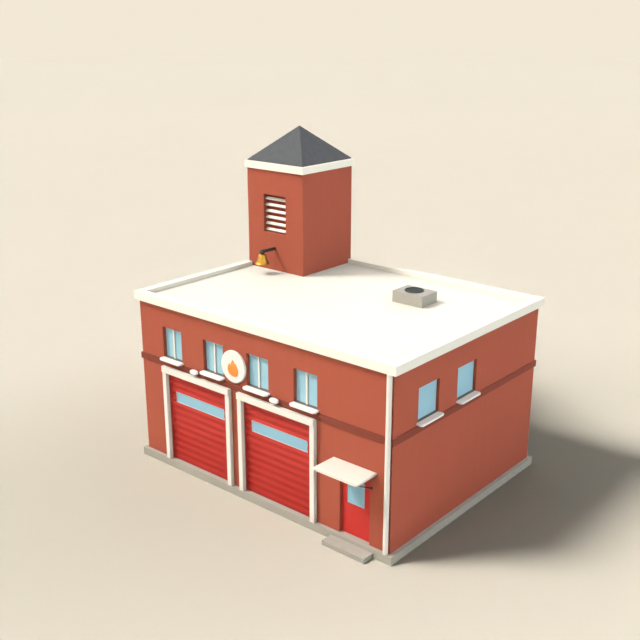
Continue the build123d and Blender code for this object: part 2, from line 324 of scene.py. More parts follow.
M = {}
M["masonry"] = painted_masonry("painted_masonry", (0.373, 0.0913, 0.0530), (0.358, 0.0868, 0.0513), (0.315, 0.0666, 0.0378))
M["plaster"] = painted_masonry("inner_plaster", (0.56, 0.54, 0.50), (0.53, 0.51, 0.47), (0.45, 0.43, 0.40), foot=False)
M["band"] = painted_masonry("band_render", (0.2125, 0.052, 0.0337), (0.199, 0.0483, 0.031), (0.169, 0.039, 0.0246), foot=False)
# band tops away from the front: a lighter red, painted light on level faces that lie in shade
M["band_top_painted_light"] = painted_masonry("band_top_render", (0.395, 0.098, 0.063), (0.375, 0.093, 0.060), (0.33, 0.080, 0.050), foot=False)
M["cornice"] = smooth_coat("cornice_render", (0.935, 0.905, 0.790), (0.92, 0.89, 0.77), rough=(0.62, 0.78), grain=70.0, spec=0.3)
# inner faces of the roof rim: copies of the cornice paint, a darker warm tone for the sides and a warmer tone for the
# ends, painted light and shade
M["upstand_side_painted_light"] = smooth_coat("upstand_side_render", (0.82, 0.775, 0.655), (0.80, 0.755, 0.635), rough=(0.62, 0.78), grain=70.0, spec=0.3)
M["upstand_end_painted_light"] = smooth_coat("upstand_end_render", (0.930, 0.900, 0.800), (0.915, 0.885, 0.785), rough=(0.62, 0.78), grain=70.0, spec=0.3)
M["trim"] = smooth_coat(
    "trim_paint", (0.865, 0.835, 0.755), (0.85, 0.82, 0.735), rough=(0.40, 0.55), foot_tone_and_sheen=((0.60, 0.53, 0.45), 0.28, 0.75, 0.45)
)
M["canopy"] = smooth_coat("canopy_paint", (0.845, 0.775, 0.685), (0.83, 0.76, 0.67), rough=(0.45, 0.60), spec=0.3)
M["sill"] = smooth_coat("sill_paint", (0.94, 0.905, 0.875), (0.92, 0.89, 0.855), rough=(0.45, 0.60), spec=0.3)
# shutter curtain: deeper red at the foot, lighter red towards the top, a painted sheen
M["curtain_red"] = smooth_coat(
    "curtain_paint", (0.455, 0.0380, 0.0300), (0.445, 0.0368, 0.0288), rough=(0.42, 0.56), foot_tone_and_sheen=((0.368, 0.0222, 0.0162), 0.30, 3.5, 1.0),
    spec=0.22,
)
M["door_red"] = smooth_coat(
    "door_paint", (0.518, 0.0286, 0.0233), (0.505, 0.0273, 0.0214), rough=(0.40, 0.55), foot_tone_and_sheen=((0.465, 0.0262, 0.0191), 0.30, 0.9, 0.30)
)
M["glass"] = tinted_glass("tinted_glass", (0.330, 0.608, 0.755), (0.358, 0.637, 0.775))
# window panes: a lighter copy of the glass tint, painted light against the shade of the deep reveals
M["window_glass"] = tinted_glass("window_tint", (0.414, 0.720, 0.860), (0.442, 0.749, 0.880))
M["lamp"] = opal("lamp_opal", (0.93, 0.905, 0.85), (0.92, 0.895, 0.835))
M["sign"] = smooth_coat("sign_enamel", (0.85, 0.875, 0.825), (0.835, 0.86, 0.80), rough=(0.30, 0.42), grain=110.0)
M["flame"] = flame_paint("flame_enamel")
M["steel"] = metal("galvanised_steel", (0.42, 0.42, 0.41), (0.34, 0.34, 0.34), (0.32, 0.5))
M["iron"] = metal("black_iron_paint", (0.026, 0.020, 0.019), (0.034, 0.027, 0.025), (0.42, 0.6), metallic=0.0, spec=0.5)
M["concrete"] = cast_concrete("cast_concrete", (0.320, 0.302, 0.258), (0.342, 0.325, 0.281), (0.20, 0.175, 0.155), (0.431, 0.397, 0.348))
M["screed"] = cast_concrete("floor_screed", (0.44, 0.42, 0.38), (0.40, 0.38, 0.35), (0.26, 0.24, 0.22), (0.46, 0.44, 0.40))
M["membrane"] = roof_membrane("roof_membrane", (0.755, 0.750, 0.672), (0.74, 0.735, 0.657), (0.675, 0.665, 0.585))
M["roof_grey"] = smooth_coat("sheet_roof_paint", (0.0773, 0.085, 0.0931), (0.073, 0.080, 0.0871), rough=(0.62, 0.76), grain=60.0, spec=0.2, vary=0.35)
# slopes of the pyramid facing along x: a darker copy of the sheet paint, painted shade
M["roof_grey_side_painted_shade"] = smooth_coat("sheet_roof_side_paint", (0.0660, 0.0728, 0.0832), (0.0625, 0.0685, 0.0780), rough=(0.62, 0.76), grain=60.0, spec=0.2, vary=0.35)
M["bell"] = metal(
    "bell_bronze", (0.43, 0.225, 0.033), (0.38, 0.215, 0.036), (0.36, 0.52), metallic=0.85, patina=(0.24, 0.20, 0.05), fine=26.0
)
# rooftop unit: level faces take a darker tone, painted shade on the top of the casing
M["unit"] = smooth_coat("unit_paint", (0.405, 0.383, 0.332), (0.389, 0.369, 0.317), rough=(0.48, 0.62), level=(0.316, 0.310, 0.292))
M["louvre_back"] = smooth_coat("louvre_board_paint", (0.28, 0.044, 0.028), (0.265, 0.041, 0.026), rough=(0.6, 0.75), spec=0.2)
M["fan"] = smooth_coat("fan_paint", (0.0501, 0.0610, 0.0588), (0.0575, 0.0674, 0.0645), rough=(0.5, 0.66), spec=0.25)
M["tower_inside"] = painted_masonry("tower_inner_brick", (0.278, 0.0556, 0.0333), (0.259, 0.052, 0.0315), (0.204, 0.042, 0.026), foot=False)
# keyhole: a near-black patch, painted shade in place of the hole
M["dark"] = rubber("keyhole_painted_shade", (0.03, 0.03, 0.03), (0.04, 0.038, 0.036))
M["rubber"] = rubber("seal_rubber", (0.035, 0.033, 0.032), (0.05, 0.047, 0.045))
M["lead"] = rubber("lead_ledge", (0.165, 0.155, 0.150), (0.150, 0.140, 0.135))
M["alu"] = metal("pale_aluminium", (0.74, 0.76, 0.76), (0.68, 0.70, 0.71), (0.34, 0.46), metallic=0.4)


# ------------------------------------------------------------------ mesh building
def lattice(bm, xs, ys, zs, solid, r=0.0, seg=2, skip=None, angle=30.0, mat=0, paint=None):
    """The union of the filled cells of a rectangular lattice as one closed shell; edges rounded by r."""
    cells = set()
    for i in range(len(xs) - 1):
        for j in range(len(ys) - 1):
            for k in range(len(zs) - 1):
                c = ((xs[i] + xs[i + 1]) / 2, (ys[j] + ys[j + 1]) / 2, (zs[k] + zs[k + 1]) / 2)
                if solid(*c):
                    cells.add((i, j, k))
    verts, faces = {}, []

    def v(i, j, k):
        if (i, j, k) not in verts:
            verts[(i, j, k)] = bm.verts.new(at(xs[i], ys[j], zs[k]))
        return verts[(i, j, k)]

    sides = {
        (-1, 0, 0): ((0, 0, 0), (0, 0, 1), (0, 1, 1), (0, 1, 0)),
        (1, 0, 0): ((1, 0, 0), (1, 1, 0), (1, 1, 1), (1, 0, 1)),
        (0, -1, 0): ((0, 0, 0), (1, 0, 0), (1, 0, 1), (0, 0, 1)),
        (0, 1, 0): ((0, 1, 0), (0, 1, 1), (1, 1, 1), (1, 1, 0)),
        (0, 0, -1): ((0, 0, 0), (0, 1, 0), (1, 1, 0), (1, 0, 0)),
        (0, 0, 1): ((0, 0, 1), (1, 0, 1), (1, 1, 1), (0, 1, 1)),
    }
    for i, j, k in cells:
        for d, quad in sides.items():
            if (i + d[0], j + d[1], k + d[2]) not in cells:
                f = bm.faces.new([v(i + a, j + b, k + c) for a, b, c in quad])
                f.material_index = mat
                faces.append(f)
                if paint is not None:
                    c = f.calc_center_median() + Vector((OX, OY, 0))
                    f.material_index = paint(c, Vector(d))
    if r > 0:
        edges = []
        for e in {e for f in faces for e in f.edges}:
            if len(e.link_faces) != 2 or math.degrees(e.calc_face_angle(0.0)) < angle:
                continue
            a, b = (w.co + Vector((OX, OY, 0)) for w in e.verts)
            if skip is not None and skip(a, b):
                continue
            edges.append(e)
        bmesh.ops.bevel(
            bm, geom=edges, offset=r, offset_type="OFFSET", segments=seg, profile=0.5, affect="EDGES", clamp_overlap=True
        )


def rbox(bm, x0, x1, y0, y1, z0, z1, r=0.01, seg=3, skip=None, mat=0):
    """Box with rounded edges, between two corners."""
    lattice(bm, [x0, x1], [y0, y1], [z0, z1], lambda *c: True, r, seg, skip, mat=mat)


def on(axis, value, eps=1e-4):
    """True for an edge that lies in the plane axis = value."""
    return lambda a, b: abs(a[axis] - value) < eps and abs(b[axis] - value) < eps


def lathe(bm, prof, origin, axis="Z", n=48, closed=False, mat=0, turn=0.0):
    """Revolves (radius, height) points about an axis through origin. Open ends are capped at a pole."""
    base = at(*origin)
    rows = []
    for r, h in prof:
        if r < 1e-7:
            p = {"Z": (0, 0, h), "Y": (0, h, 0), "X": (h, 0, 0)}[axis]
            rows.append([bm.verts.new(base + Vector(p))])
            continue
        ring = []
        for i in range(n):
            t = 2 * math.pi * i / n + turn
            c, s = r * math.cos(t), r * math.sin(t)
            p = {"Z": (c, s, h), "Y": (s, h, c), "X": (h, c, s)}[axis]
            ring.append(bm.verts.new(base + Vector(p)))
        rows.append(ring)
    pairs = list(zip(rows, rows[1:]))
    if closed:
        pairs.append((rows[-1], rows[0]))
    made = []
    for a, b in pairs:
        for i in range(n):
            j = (i + 1) % n
            if len(a) == 1 and len(b) == 1:
                break
            if len(a) == 1:
                made.append(bm.faces.new((a[0], b[j], b[i])))
            elif len(b) == 1:
                made.append(bm.faces.new((a[i], a[j], b[0])))
            else:
                made.append(bm.faces.new((a[i], a[j], b[j], b[i])))
    if not closed:
        for ring in (rows[0], rows[-1]):
            if len(ring) > 1:
                made.append(bm.faces.new(ring))
    for f in made:
        f.material_index = mat
    return made


def arc(cx, cy, r, a0, a1, n=5):
    """Points of an arc in the profile plane, angles in degrees."""
    return [
        (cx + r * math.cos(math.radians(a0 + (a1 - a0) * i / n)), cy + r * math.sin(math.radians(a0 + (a1 - a0) * i / n)))
        for i in range(n + 1)
    ]


def pin(bm, x, y, z, axis, r, length, head=0.0, mat=0, n=20, edge=None):
    """Short round bar with softened ends along an axis, from (x, y, z) in the positive direction."""
    e = min(r, length / 2) * 0.35 if edge is None else edge
    prof = [(0, 0)] + arc(r - e, e, e, -90, 0, 3) + arc(r - e, length - e, e, 0, 90, 3) + [(0, length)]
    lathe(bm, prof, (x, y, z), axis, n, mat=mat)


def hexbolt(bm, p, direction, r=0.011, h=0.008, mat=0):
    """Hexagon bolt head with washer, standing on p and facing along direction (in row axes)."""
    d = Vector(direction).normalized()
    q = d.to_track_quat("Z", "Y").to_matrix().to_4x4()
    start = len(bm.verts)
    o = at(*p)
    for rad, lo, hi, n in ((r * 1.45, 0.0, h * 0.25, 20), (r, h * 0.25, h, 6)):
        rings = []
        for zz, rr in ((lo, rad), (hi - h * 0.12, rad), (hi, rad * 0.86)):
            rings.append(
                [
                    bm.verts.new(o + (q @ Vector((rr * math.cos(2 * math.pi * i / n), rr * math.sin(2 * math.pi * i / n), zz))))
                    for i in range(n)
                ]
            )
        for a, b in zip(rings, rings[1:]):
            for i in range(n):
                j = (i + 1) % n
                bm.faces.new((a[i], a[j], b[j], b[i])).material_index = mat
        bm.faces.new(rings[0][::-1]).material_index = mat
        bm.faces.new(rings[-1]).material_index = mat
    return start


def sweep_x(bm, loop, x0, x1, mat=0):
    """Closed (y, z) outline pushed along x."""
    a = [bm.verts.new(at(x0, y, z)) for y, z in loop]
    b = [bm.verts.new(at(x1, y, z)) for y, z in loop]
    n = len(loop)
    faces = [bm.faces.new(a), bm.faces.new(b[::-1])]
    for i in range(n):
        j = (i + 1) % n
        faces.append(bm.faces.new((a[i], b[i], b[j], a[j])))
    for f in faces:
        f.material_index = mat


def tube(bm, a, b, r, n=16, mat=0, caps=True):
    """Round bar between two row-frame points."""
    a, b = Vector(a), Vector(b)
    q = (b - a).to_track_quat("Z", "Y").to_matrix()
    ring = [q @ Vector((r * math.cos(2 * math.pi * i / n), r * math.sin(2 * math.pi * i / n), 0)) for i in range(n)]
    ra = [bm.verts.new(a + p) for p in ring]
    rb = [bm.verts.new(b + p) for p in ring]
    for i in range(n):
        j = (i + 1) % n
        bm.faces.new((ra[i], ra[j], rb[j], rb[i])).material_index = mat
    if caps:
        bm.faces.new(ra[::-1]).material_index = mat
        bm.faces.new(rb).material_index = mat


def soft_slab(bm, x0, x1, y0, y1, z0, z1, wall, rv, re, seg=6):
    """Slab built against a wall, wall = (axis, value): free corners rounded in plan by rv, arrises by re."""
    pts = []
    for cx, cy, sx, sy, a0 in ((x0, y0, 1, 1, 180), (x1, y0, -1, 1, 270), (x1, y1, -1, -1, 0), (x0, y1, 1, -1, 90)):
        if abs((cx, cy)[wall[0]] - wall[1]) < 1e-6:
            pts.append((cx, cy))
        else:
            pts += arc(cx + sx * rv, cy + sy * rv, rv, a0, a0 + 90, seg)
    lo = [bm.verts.new(at(x, y, z0)) for x, y in pts]
    hi = [bm.verts.new(at(x, y, z1)) for x, y in pts]
    bm.faces.new(lo[::-1])
    bm.faces.new(hi)
    n = len(pts)
    edges = []
    for i in range(n):
        j = (i + 1) % n
        bm.faces.new((lo[i], lo[j], hi[j], hi[i]))
        if not all(abs(pts[k][wall[0]] - wall[1]) < 1e-6 for k in (i, j)):
            edges += [bm.edges.get((lo[i], lo[j])), bm.edges.get((hi[i], hi[j]))]
    bmesh.ops.bevel(bm, geom=edges, offset=re, offset_type="OFFSET", segments=5, profile=0.5, affect="EDGES", clamp_overlap=True)


def pillow(bm, centre, half, power, around=40, rows=20):
    """Closed rounded body between a ball and a box."""
    def bend(v):
        return math.copysign(abs(v) ** (2.0 / power), v)

    rings = []
    for i in range(1, rows):
        a = math.pi * (i / rows - 0.5)
        ring = []
        for k in range(around):
            b = 2 * math.pi * k / around
            ring.append(bm.verts.new(at(
                centre[0] + half[0] * bend(math.sin(a)),
                centre[1] + half[1] * bend(math.cos(a)) * bend(math.cos(b)),
                centre[2] + half[2] * bend(math.cos(a)) * bend(math.sin(b)),
            )))
        rings.append(ring)
    ends = [bm.verts.new(at(centre[0] + s * half[0], centre[1], centre[2])) for s in (-1, 1)]
    for k in range(around):
        j = (k + 1) % around
        for lo, hi in zip(rings, rings[1:]):
            bm.faces.new((lo[k], lo[j], hi[j], hi[k]))
        bm.faces.new((ends[0], rings[0][j], rings[0][k]))
        bm.faces.new((ends[1], rings[-1][k], rings[-1][j]))


def put(name, bm, mats, replaces=(), body="building", smooth=38.0, weighted=True):
    """Turns a bmesh into a piece that rides on its body."""
    bmesh.ops.remove_doubles(bm, verts=bm.verts, dist=1e-6)
    bmesh.ops.recalc_face_normals(bm, faces=bm.faces)
    me = bpy.data.meshes.new(name)
    bm.to_mesh(me)
    bm.free()
    for p in me.polygons:
        p.use_smooth = True
    me.set_sharp_from_angle(angle=math.radians(smooth))
    for m in mats:
        me.materials.append(M[m])
    ob = bpy.data.objects.new(name, me)
    bpy.context.scene.collection.objects.link(ob)
    if weighted:
        w = ob.modifiers.new("weighted", "WEIGHTED_NORMAL")
        w.keep_sharp = True
        w.weight = 80
    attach(ob, body)
    if replaces:
        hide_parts(*replaces)
    return ob


# ------------------------------------------------------------------ sizes shared by several pieces
W, D = 12.0, 9.04
WIN_X, WIN_Y = [1.780, 3.990, 6.200, 8.400], [1.915, 4.195]
SILL_X, SILL_Y = [1.805, 4.015, 6.225, 8.425], [1.870, 4.180]
HALF_X, HALF_Y = 0.520, 0.590
FOOT, LEDGE = 4.455, 4.48
TOP_X, TOP_Y = 5.68, 5.65
DEEP_X, DEEP_Y = 0.150, 0.115
BAYS = [(1.47, 4.69), (5.49, 8.702)]
BAY_TOP = 3.915
WALL_TOP, DECK, RIM_TOP = 6.52, 6.675, 6.84


def in_window(u, z, centres, half, top):
    return FOOT < z < top and any(abs(u - c) < half for c in centres)


# ------------------------------------------------------------------ ground
def ground_pieces():
    bm = bmesh.new()
    lattice(
        bm, [-0.15, 12.15], [-0.15, 9.19], [0.0, 0.30], lambda *c: True, 0.042, 5,
    )
    put("plinth_slab", bm, ["concrete"], ["foundation_slab"])
    bm = bmesh.new()
    rbox(bm, 9.65, 11.41, -0.62, -0.15, 0.0, 0.17, 0.046, 5, skip=on(1, -0.15))
    put("entrance_step", bm, ["concrete"], ["door_step"])


# ------------------------------------------------------------------ walls
def wall_pieces():
    def inner(axis, value, sign):
        return lambda c, d: 1 if (abs(c[axis] - value) < 1e-3 and d[axis] == sign) else 0

    # front
    xs = sorted({0.0, 0.3, W - 0.3, W, 9.90, 11.16, *(v for b in BAYS for v in b), *(x + s * HALF_X for x in WIN_X for s in (-1, 1))})
    zs = [0.30, 2.60, BAY_TOP, FOOT, TOP_X, WALL_TOP]

    def solid(x, y, z):
        if any(a < x < b for a, b in BAYS) and z < BAY_TOP:
            return False
        if 9.90 < x < 11.16 and z < 2.60:
            return False
        return not in_window(x, z, WIN_X, HALF_X, TOP_X)

    def skip(a, b):
        if abs(a.y - 0.30) < 1e-4 and abs(b.y - 0.30) < 1e-4:
            return True
        if on(2, 0.30)(a, b) or on(2, WALL_TOP)(a, b):
            return True
        return (on(0, 0.0)(a, b) or on(0, W)(a, b)) and abs(a.z - b.z) < 1e-4

    bm = bmesh.new()
    lattice(bm, xs, [0.0, 0.30], zs, solid, 0.012, 3, skip, paint=inner(1, 0.30, 1))
    put(
        "front_wall", bm, ["masonry", "plaster"],
        ["front_wall_piers", "front_wall_door_head", "front_wall_band", "front_wall_upper"],
    )
    # back
    xs = sorted({0.0, 0.3, W - 0.3, W, *(x + s * HALF_X for x in WIN_X for s in (-1, 1))})

    def skip_back(a, b):
        if on(1, D - 0.30)(a, b) or on(2, 0.30)(a, b) or on(2, WALL_TOP)(a, b):
            return True
        return (on(0, 0.0)(a, b) or on(0, W)(a, b)) and abs(a.z - b.z) < 1e-4

    bm = bmesh.new()
    lattice(
        bm, xs, [D - 0.30, D], [0.30, FOOT, TOP_X, WALL_TOP], lambda x, y, z: not in_window(x, z, WIN_X, HALF_X, TOP_X),
        0.012, 3, skip_back, paint=inner(1, D - 0.30, -1),
    )
    put("rear_wall", bm, ["masonry", "plaster"], ["back_wall"])
    # sides
    for name, node, x0, x1, xi, sign in (
        ("side_wall_right", "right_wall", W - 0.30, W, W - 0.30, -1),
        ("side_wall_left", "left_wall", 0.0, 0.30, 0.30, 1),
    ):
        ys = sorted({0.30, D - 0.30, *(y + s * HALF_Y for y in WIN_Y for s in (-1, 1))})

        def skip_side(a, b, xi=xi):
            if on(0, xi)(a, b) or on(2, 0.30)(a, b) or on(2, WALL_TOP)(a, b):
                return True
            return on(1, 0.30)(a, b) or on(1, D - 0.30)(a, b)

        bm = bmesh.new()
        lattice(
            bm, [x0, x1], ys, [0.30, FOOT, TOP_Y, WALL_TOP], lambda x, y, z: not in_window(y, z, WIN_Y, HALF_Y, TOP_Y),
            0.012, 3, skip_side, paint=inner(0, xi, sign),
        )
        put(name, bm, ["masonry", "plaster"], [node])


# ------------------------------------------------------------------ band, cornice, roof deck
def ring_pieces():
    bm = bmesh.new()
    pipe0, pipe1 = 11.785, 11.975

    def solid(x, y, z):
        if y < 0 and pipe0 < x < pipe1:
            return False
        return x < 0 or x > W or y < 0 or y > D

    def against_wall(a, b):
        inside = all(-1e-4 <= p.x <= W + 1e-4 and -1e-4 <= p.y <= D + 1e-4 for p in (a, b))
        return inside

    lattice(
        bm, [-0.05, 0.0, pipe0, pipe1, W, W + 0.05], [-0.05, 0.0, D, D + 0.05], [4.13, 4.37], solid, 0.030, 5, against_wall
    )
    bm.normal_update()
    # level tops off the front face take the lighter red: painted light
    for f in bm.faces:
        if f.normal.z > 0.30 and f.calc_center_median().y > at(0, -0.01, 0).y:
            f.material_index = 1
    put("string_band", bm, ["band", "band_top_painted_light"], ["string_course"])

    bm = bmesh.new()
    o, i = 0.145, 0.175
    lattice(
        bm, [-o, i, W - i, W + o], [-o, i, D - i, D + o], [WALL_TOP, RIM_TOP],
        lambda x, y, z: not (i < x < W - i and i < y < D - i), 0.020, 4,
        skip=lambda a, b: (on(2, WALL_TOP)(a, b) and (i - 0.01 < a.x < W - i + 0.01) and (i - 0.01 < a.y < D - i + 0.01)
                           and (i - 0.01 < b.x < W - i + 0.01) and (i - 0.01 < b.y < D - i + 0.01)),
    )
    bm.normal_update()
    # inner rim faces take the side or end tone by which way they face: painted light and shade
    for f in bm.faces:
        c, n = f.calc_center_median() - at(0, 0, 0), f.normal
        if 0.1 < c.x < W - 0.1 and 0.1 < c.y < D - 0.1 and c.z > DECK and n.z < 0.75:
            f.material_index = 1 if abs(n.x) > abs(n.y) else 2
    put("main_cornice", bm, ["cornice", "upstand_side_painted_light", "upstand_end_painted_light"], ["roof_cornice"])

    # deck: membrane sheets laid across, each lapping the next by a thin raised strip
    bm = bmesh.new()
    top = DECK - 0.0012
    lattice(bm, [i, W - i], [i, D - i], [WALL_TOP, top], lambda *c: True, 0.0)
    x = i + 1.30
    while x < W - i - 0.3:
        y1 = D - i if x > 3.10 else 5.95
        rbox(bm, x - 0.04, x + 0.04, i, y1, top - 0.002, DECK, 0.0011, 1)
        x += 1.45
    # upstand where the membrane turns up against the rim: a narrow fillet; the side and back fillets take the rim's
    # painted light and shade tones
    f = 0.018
    for x0, x1, y0, y1, coat in (
        (i, W - i, i, i + f, 0), (3.05 + f, W - i, D - i - f, D - i, 2), (i, i + f, i + f, 5.95, 1),
        (W - i - f, W - i, i + f, D - i - f, 1),
    ):
        rbox(bm, x0, x1, y0, y1, top - 0.002, DECK + 0.016, 0.012, 3, mat=coat)
    put("roof_deck", bm, ["membrane", "upstand_side_painted_light", "upstand_end_painted_light"], ["roof_slab"])


# ------------------------------------------------------------------ windows
def window_pieces():
    panes, bars, sills = bmesh.new(), bmesh.new(), bmesh.new()

    def face(plane, centre, half, top, deep, mullion, s0, s1, wall):
        """plane(u, d) gives x, y from the place along the wall and the depth behind its face."""
        def box(bm, u0, u1, d0, d1, z0, z1, r, seg, skip=None, mat=0):
            a, b = plane(u0, d0), plane(u1, d1)
            x0, x1 = sorted((a[0], b[0]))
            y0, y1 = sorted((a[1], b[1]))
            rbox(bm, x0, x1, y0, y1, z0, z1, r, seg, skip, mat)

        a, b = centre - half, centre + half
        g0, g1 = deep, deep + 0.024
        box(panes, a + 0.001, b - 0.001, g0, g1, LEDGE + 0.001, top - 0.001, 0.003, 1)
        # slim dark glazing bead round the pane, inside and out
        t = 0.007
        for u0, u1, z0, z1 in ((a, a + t, LEDGE, top), (b - t, b, LEDGE, top), (a + t, b - t, LEDGE, LEDGE + t), (a + t, b - t, top - t, top)):
            box(bars, u0, u1, g0 - 0.006, g0, z0, z1, 0.002, 1, mat=1)
            box(bars, u0, u1, g1, g1 + 0.010, z0, z1, 0.002, 1, mat=1)
        if mullion:
            m = centre - 0.035
            box(bars, m - 0.0375, m + 0.0375, 0.110, g0, LEDGE, top, 0.008, 3)
            box(bars, m - 0.030, m + 0.030, g1, g1 + 0.020, LEDGE + t, top - t, 0.005, 2)
        # lead-covered ledge in the reveal, with a welt against the glass
        box(sills, a, b, 0.0, 0.30, FOOT, LEDGE, 0.0, 1, mat=1)
        box(sills, a + t, b - t, g0 - 0.026, g0 - 0.006, LEDGE - 0.002, LEDGE + 0.010, 0.004, 2, mat=1)
        p, q = plane(s0, -0.24), plane(s1, 0.0)
        (u0, u1), (v0, v1) = sorted((p[0], q[0])), sorted((p[1], q[1]))
        soft_slab(sills, u0, u1, v0, v1, 4.405, LEDGE, wall, 0.085 if wall[0] else 0.060, 0.034)

    for x, c in zip(WIN_X, SILL_X):
        face(lambda u, d: (u, d), x, HALF_X, TOP_X, DEEP_X, True, c - 0.58, c + 0.58, (1, 0.0))
        face(lambda u, d: (u, D - d), x, HALF_X, TOP_X, DEEP_X, True, c - 0.58, c + 0.58, (1, D))
    for y, c in zip(WIN_Y, SILL_Y):
        w = 0.640 if c < 3 else 0.620
        face(lambda u, d: (W - d, u), y, HALF_Y, TOP_Y, DEEP_Y, False, c - w, c + w, (0, W))
        face(lambda u, d: (d, u), y, HALF_Y, TOP_Y, DEEP_Y, False, c - w, c + w, (0, 0.0))
    put("window_panes", panes, ["window_glass"], ["window_glass"])
    put("window_frames", bars, ["trim", "lead"], ["window_mullions"])
    put("window_ledges", sills, ["sill", "lead"], ["window_sills"])


# ------------------------------------------------------------------ vehicle bays
PITCH, GROOVE0 = 0.275, 0.615
STRIP_LO, STRIP_HI = 2.745, 3.175
DOOR_Y, DOOR_BACK, RIB = 0.045, 0.105, 0.024


def rib_y(z):
    t = (z - GROOVE0) / PITCH - 0.25
    return DOOR_Y + RIB * 0.5 * (1 - math.cos(2 * math.pi * t))


def ribbed(bm, x0, x1, z0, z1):
    """A piece of shutter curtain: rounded ribs outside, shallow flutes inside."""
    marks = {z0, z1}
    k = math.floor((z0 - GROOVE0) / PITCH)
    while GROOVE0 + k * PITCH < z1:
        for i in range(12):
            s = i / 12
            q = GROOVE0 + (k + s) * PITCH
            if z0 + 1e-4 < q < z1 - 1e-4:
                marks.add(q)
        k += 1
    zs = sorted(marks)
    front = [(rib_y(z), z) for z in zs]
    back = [(DOOR_BACK - 0.25 * (DOOR_Y + RIB - rib_y(z)), z) for z in reversed(zs)]
    sweep_x(bm, front + back, x0, x1)


def bay_pieces():
    posts, lintels, curtain, strips, frames, lamps = (bmesh.new() for _ in range(6))
    for x0, x1 in BAYS:
        c = (x0 + x1) / 2
        for p0, p1 in ((x0 - 0.19, x0), (x1, x1 + 0.19)):
            rbox(posts, p0, p1, -0.15, 0.0, 0.30, BAY_TOP, 0.066, 6, skip=lambda a, b: on(1, 0.0)(a, b) or on(2, BAY_TOP)(a, b))
        lattice(
            lintels, [x0 - 0.19, x1 + 0.19], [-0.185, -0.05, 0.0], [BAY_TOP, 4.13, 4.15], lambda x, y, z: y < -0.05 or z < 4.13,
            0.060, 6, skip=lambda a, b: a.y > -0.051 and b.y > -0.051,
        )
        a, b = c + 0.035 - 1.31, c + 0.035 + 1.31
        g = 0.030
        ribbed(curtain, x0 + g, x1 - g, 0.325, STRIP_LO)
        ribbed(curtain, x0 + g, x1 - g, STRIP_HI, BAY_TOP - 0.004)
        ribbed(curtain, x0 + g, a, STRIP_LO, STRIP_HI)
        ribbed(curtain, b, x1 - g, STRIP_LO, STRIP_HI)
        for u0, u1 in ((x0 + 0.001, x0 + g), (x1 - g, x1 - 0.001)):
            rbox(curtain, u0, u1, DOOR_Y, DOOR_BACK + 0.010, 0.302, BAY_TOP - 0.002, 0.006, 2)
        rbox(curtain, x0 + g, x1 - g, DOOR_Y + 0.012, DOOR_Y + 0.050, 0.316, 0.330, 0.003, 1)
        rbox(frames, x0 + g, x1 - g, DOOR_Y + 0.016, DOOR_Y + 0.046, 0.301, 0.318, 0.006, 2, mat=1)
        t = 0.016
        rbox(strips, a + t, b - t, DOOR_Y + 0.018, DOOR_Y + 0.042, STRIP_LO + t, STRIP_HI - t, 0.002, 1)
        for u0, u1, z0, z1 in ((a, a + t, STRIP_LO, STRIP_HI), (b - t, b, STRIP_LO, STRIP_HI), (a + t, b - t, STRIP_LO, STRIP_LO + t), (a + t, b - t, STRIP_HI - t, STRIP_HI)):
            rbox(frames, u0, u1, DOOR_Y + 0.001, DOOR_Y + 0.052, z0, z1, 0.004, 2)
        # lamp: opal head with softened corners, on a thin round-cornered back plate
        l = c + 0.03
        pillow(lamps, (l, -0.1615, 4.347), (0.190, 0.1035, 0.093), 2.5)
        rbox(lamps, l - 0.110, l + 0.110, -0.075, -0.050, 4.290, 4.368, 0.008, 3, mat=1)
    put("bay_door_posts", posts, ["trim"], ["bay_posts"])
    put("bay_door_lintels", lintels, ["trim"], ["bay_lintels"])
    put("bay_door_curtains", curtain, ["curtain_red"], ["bay_door_panels", "bay_door_stiles"], smooth=50.0)
    put("bay_door_windows", strips, ["glass"], ["bay_door_glass"])
    put("bay_door_window_frames", frames, ["alu", "rubber"])
    put("bay_door_lamps", lamps, ["lamp", "trim"], ["bay_lamps"])


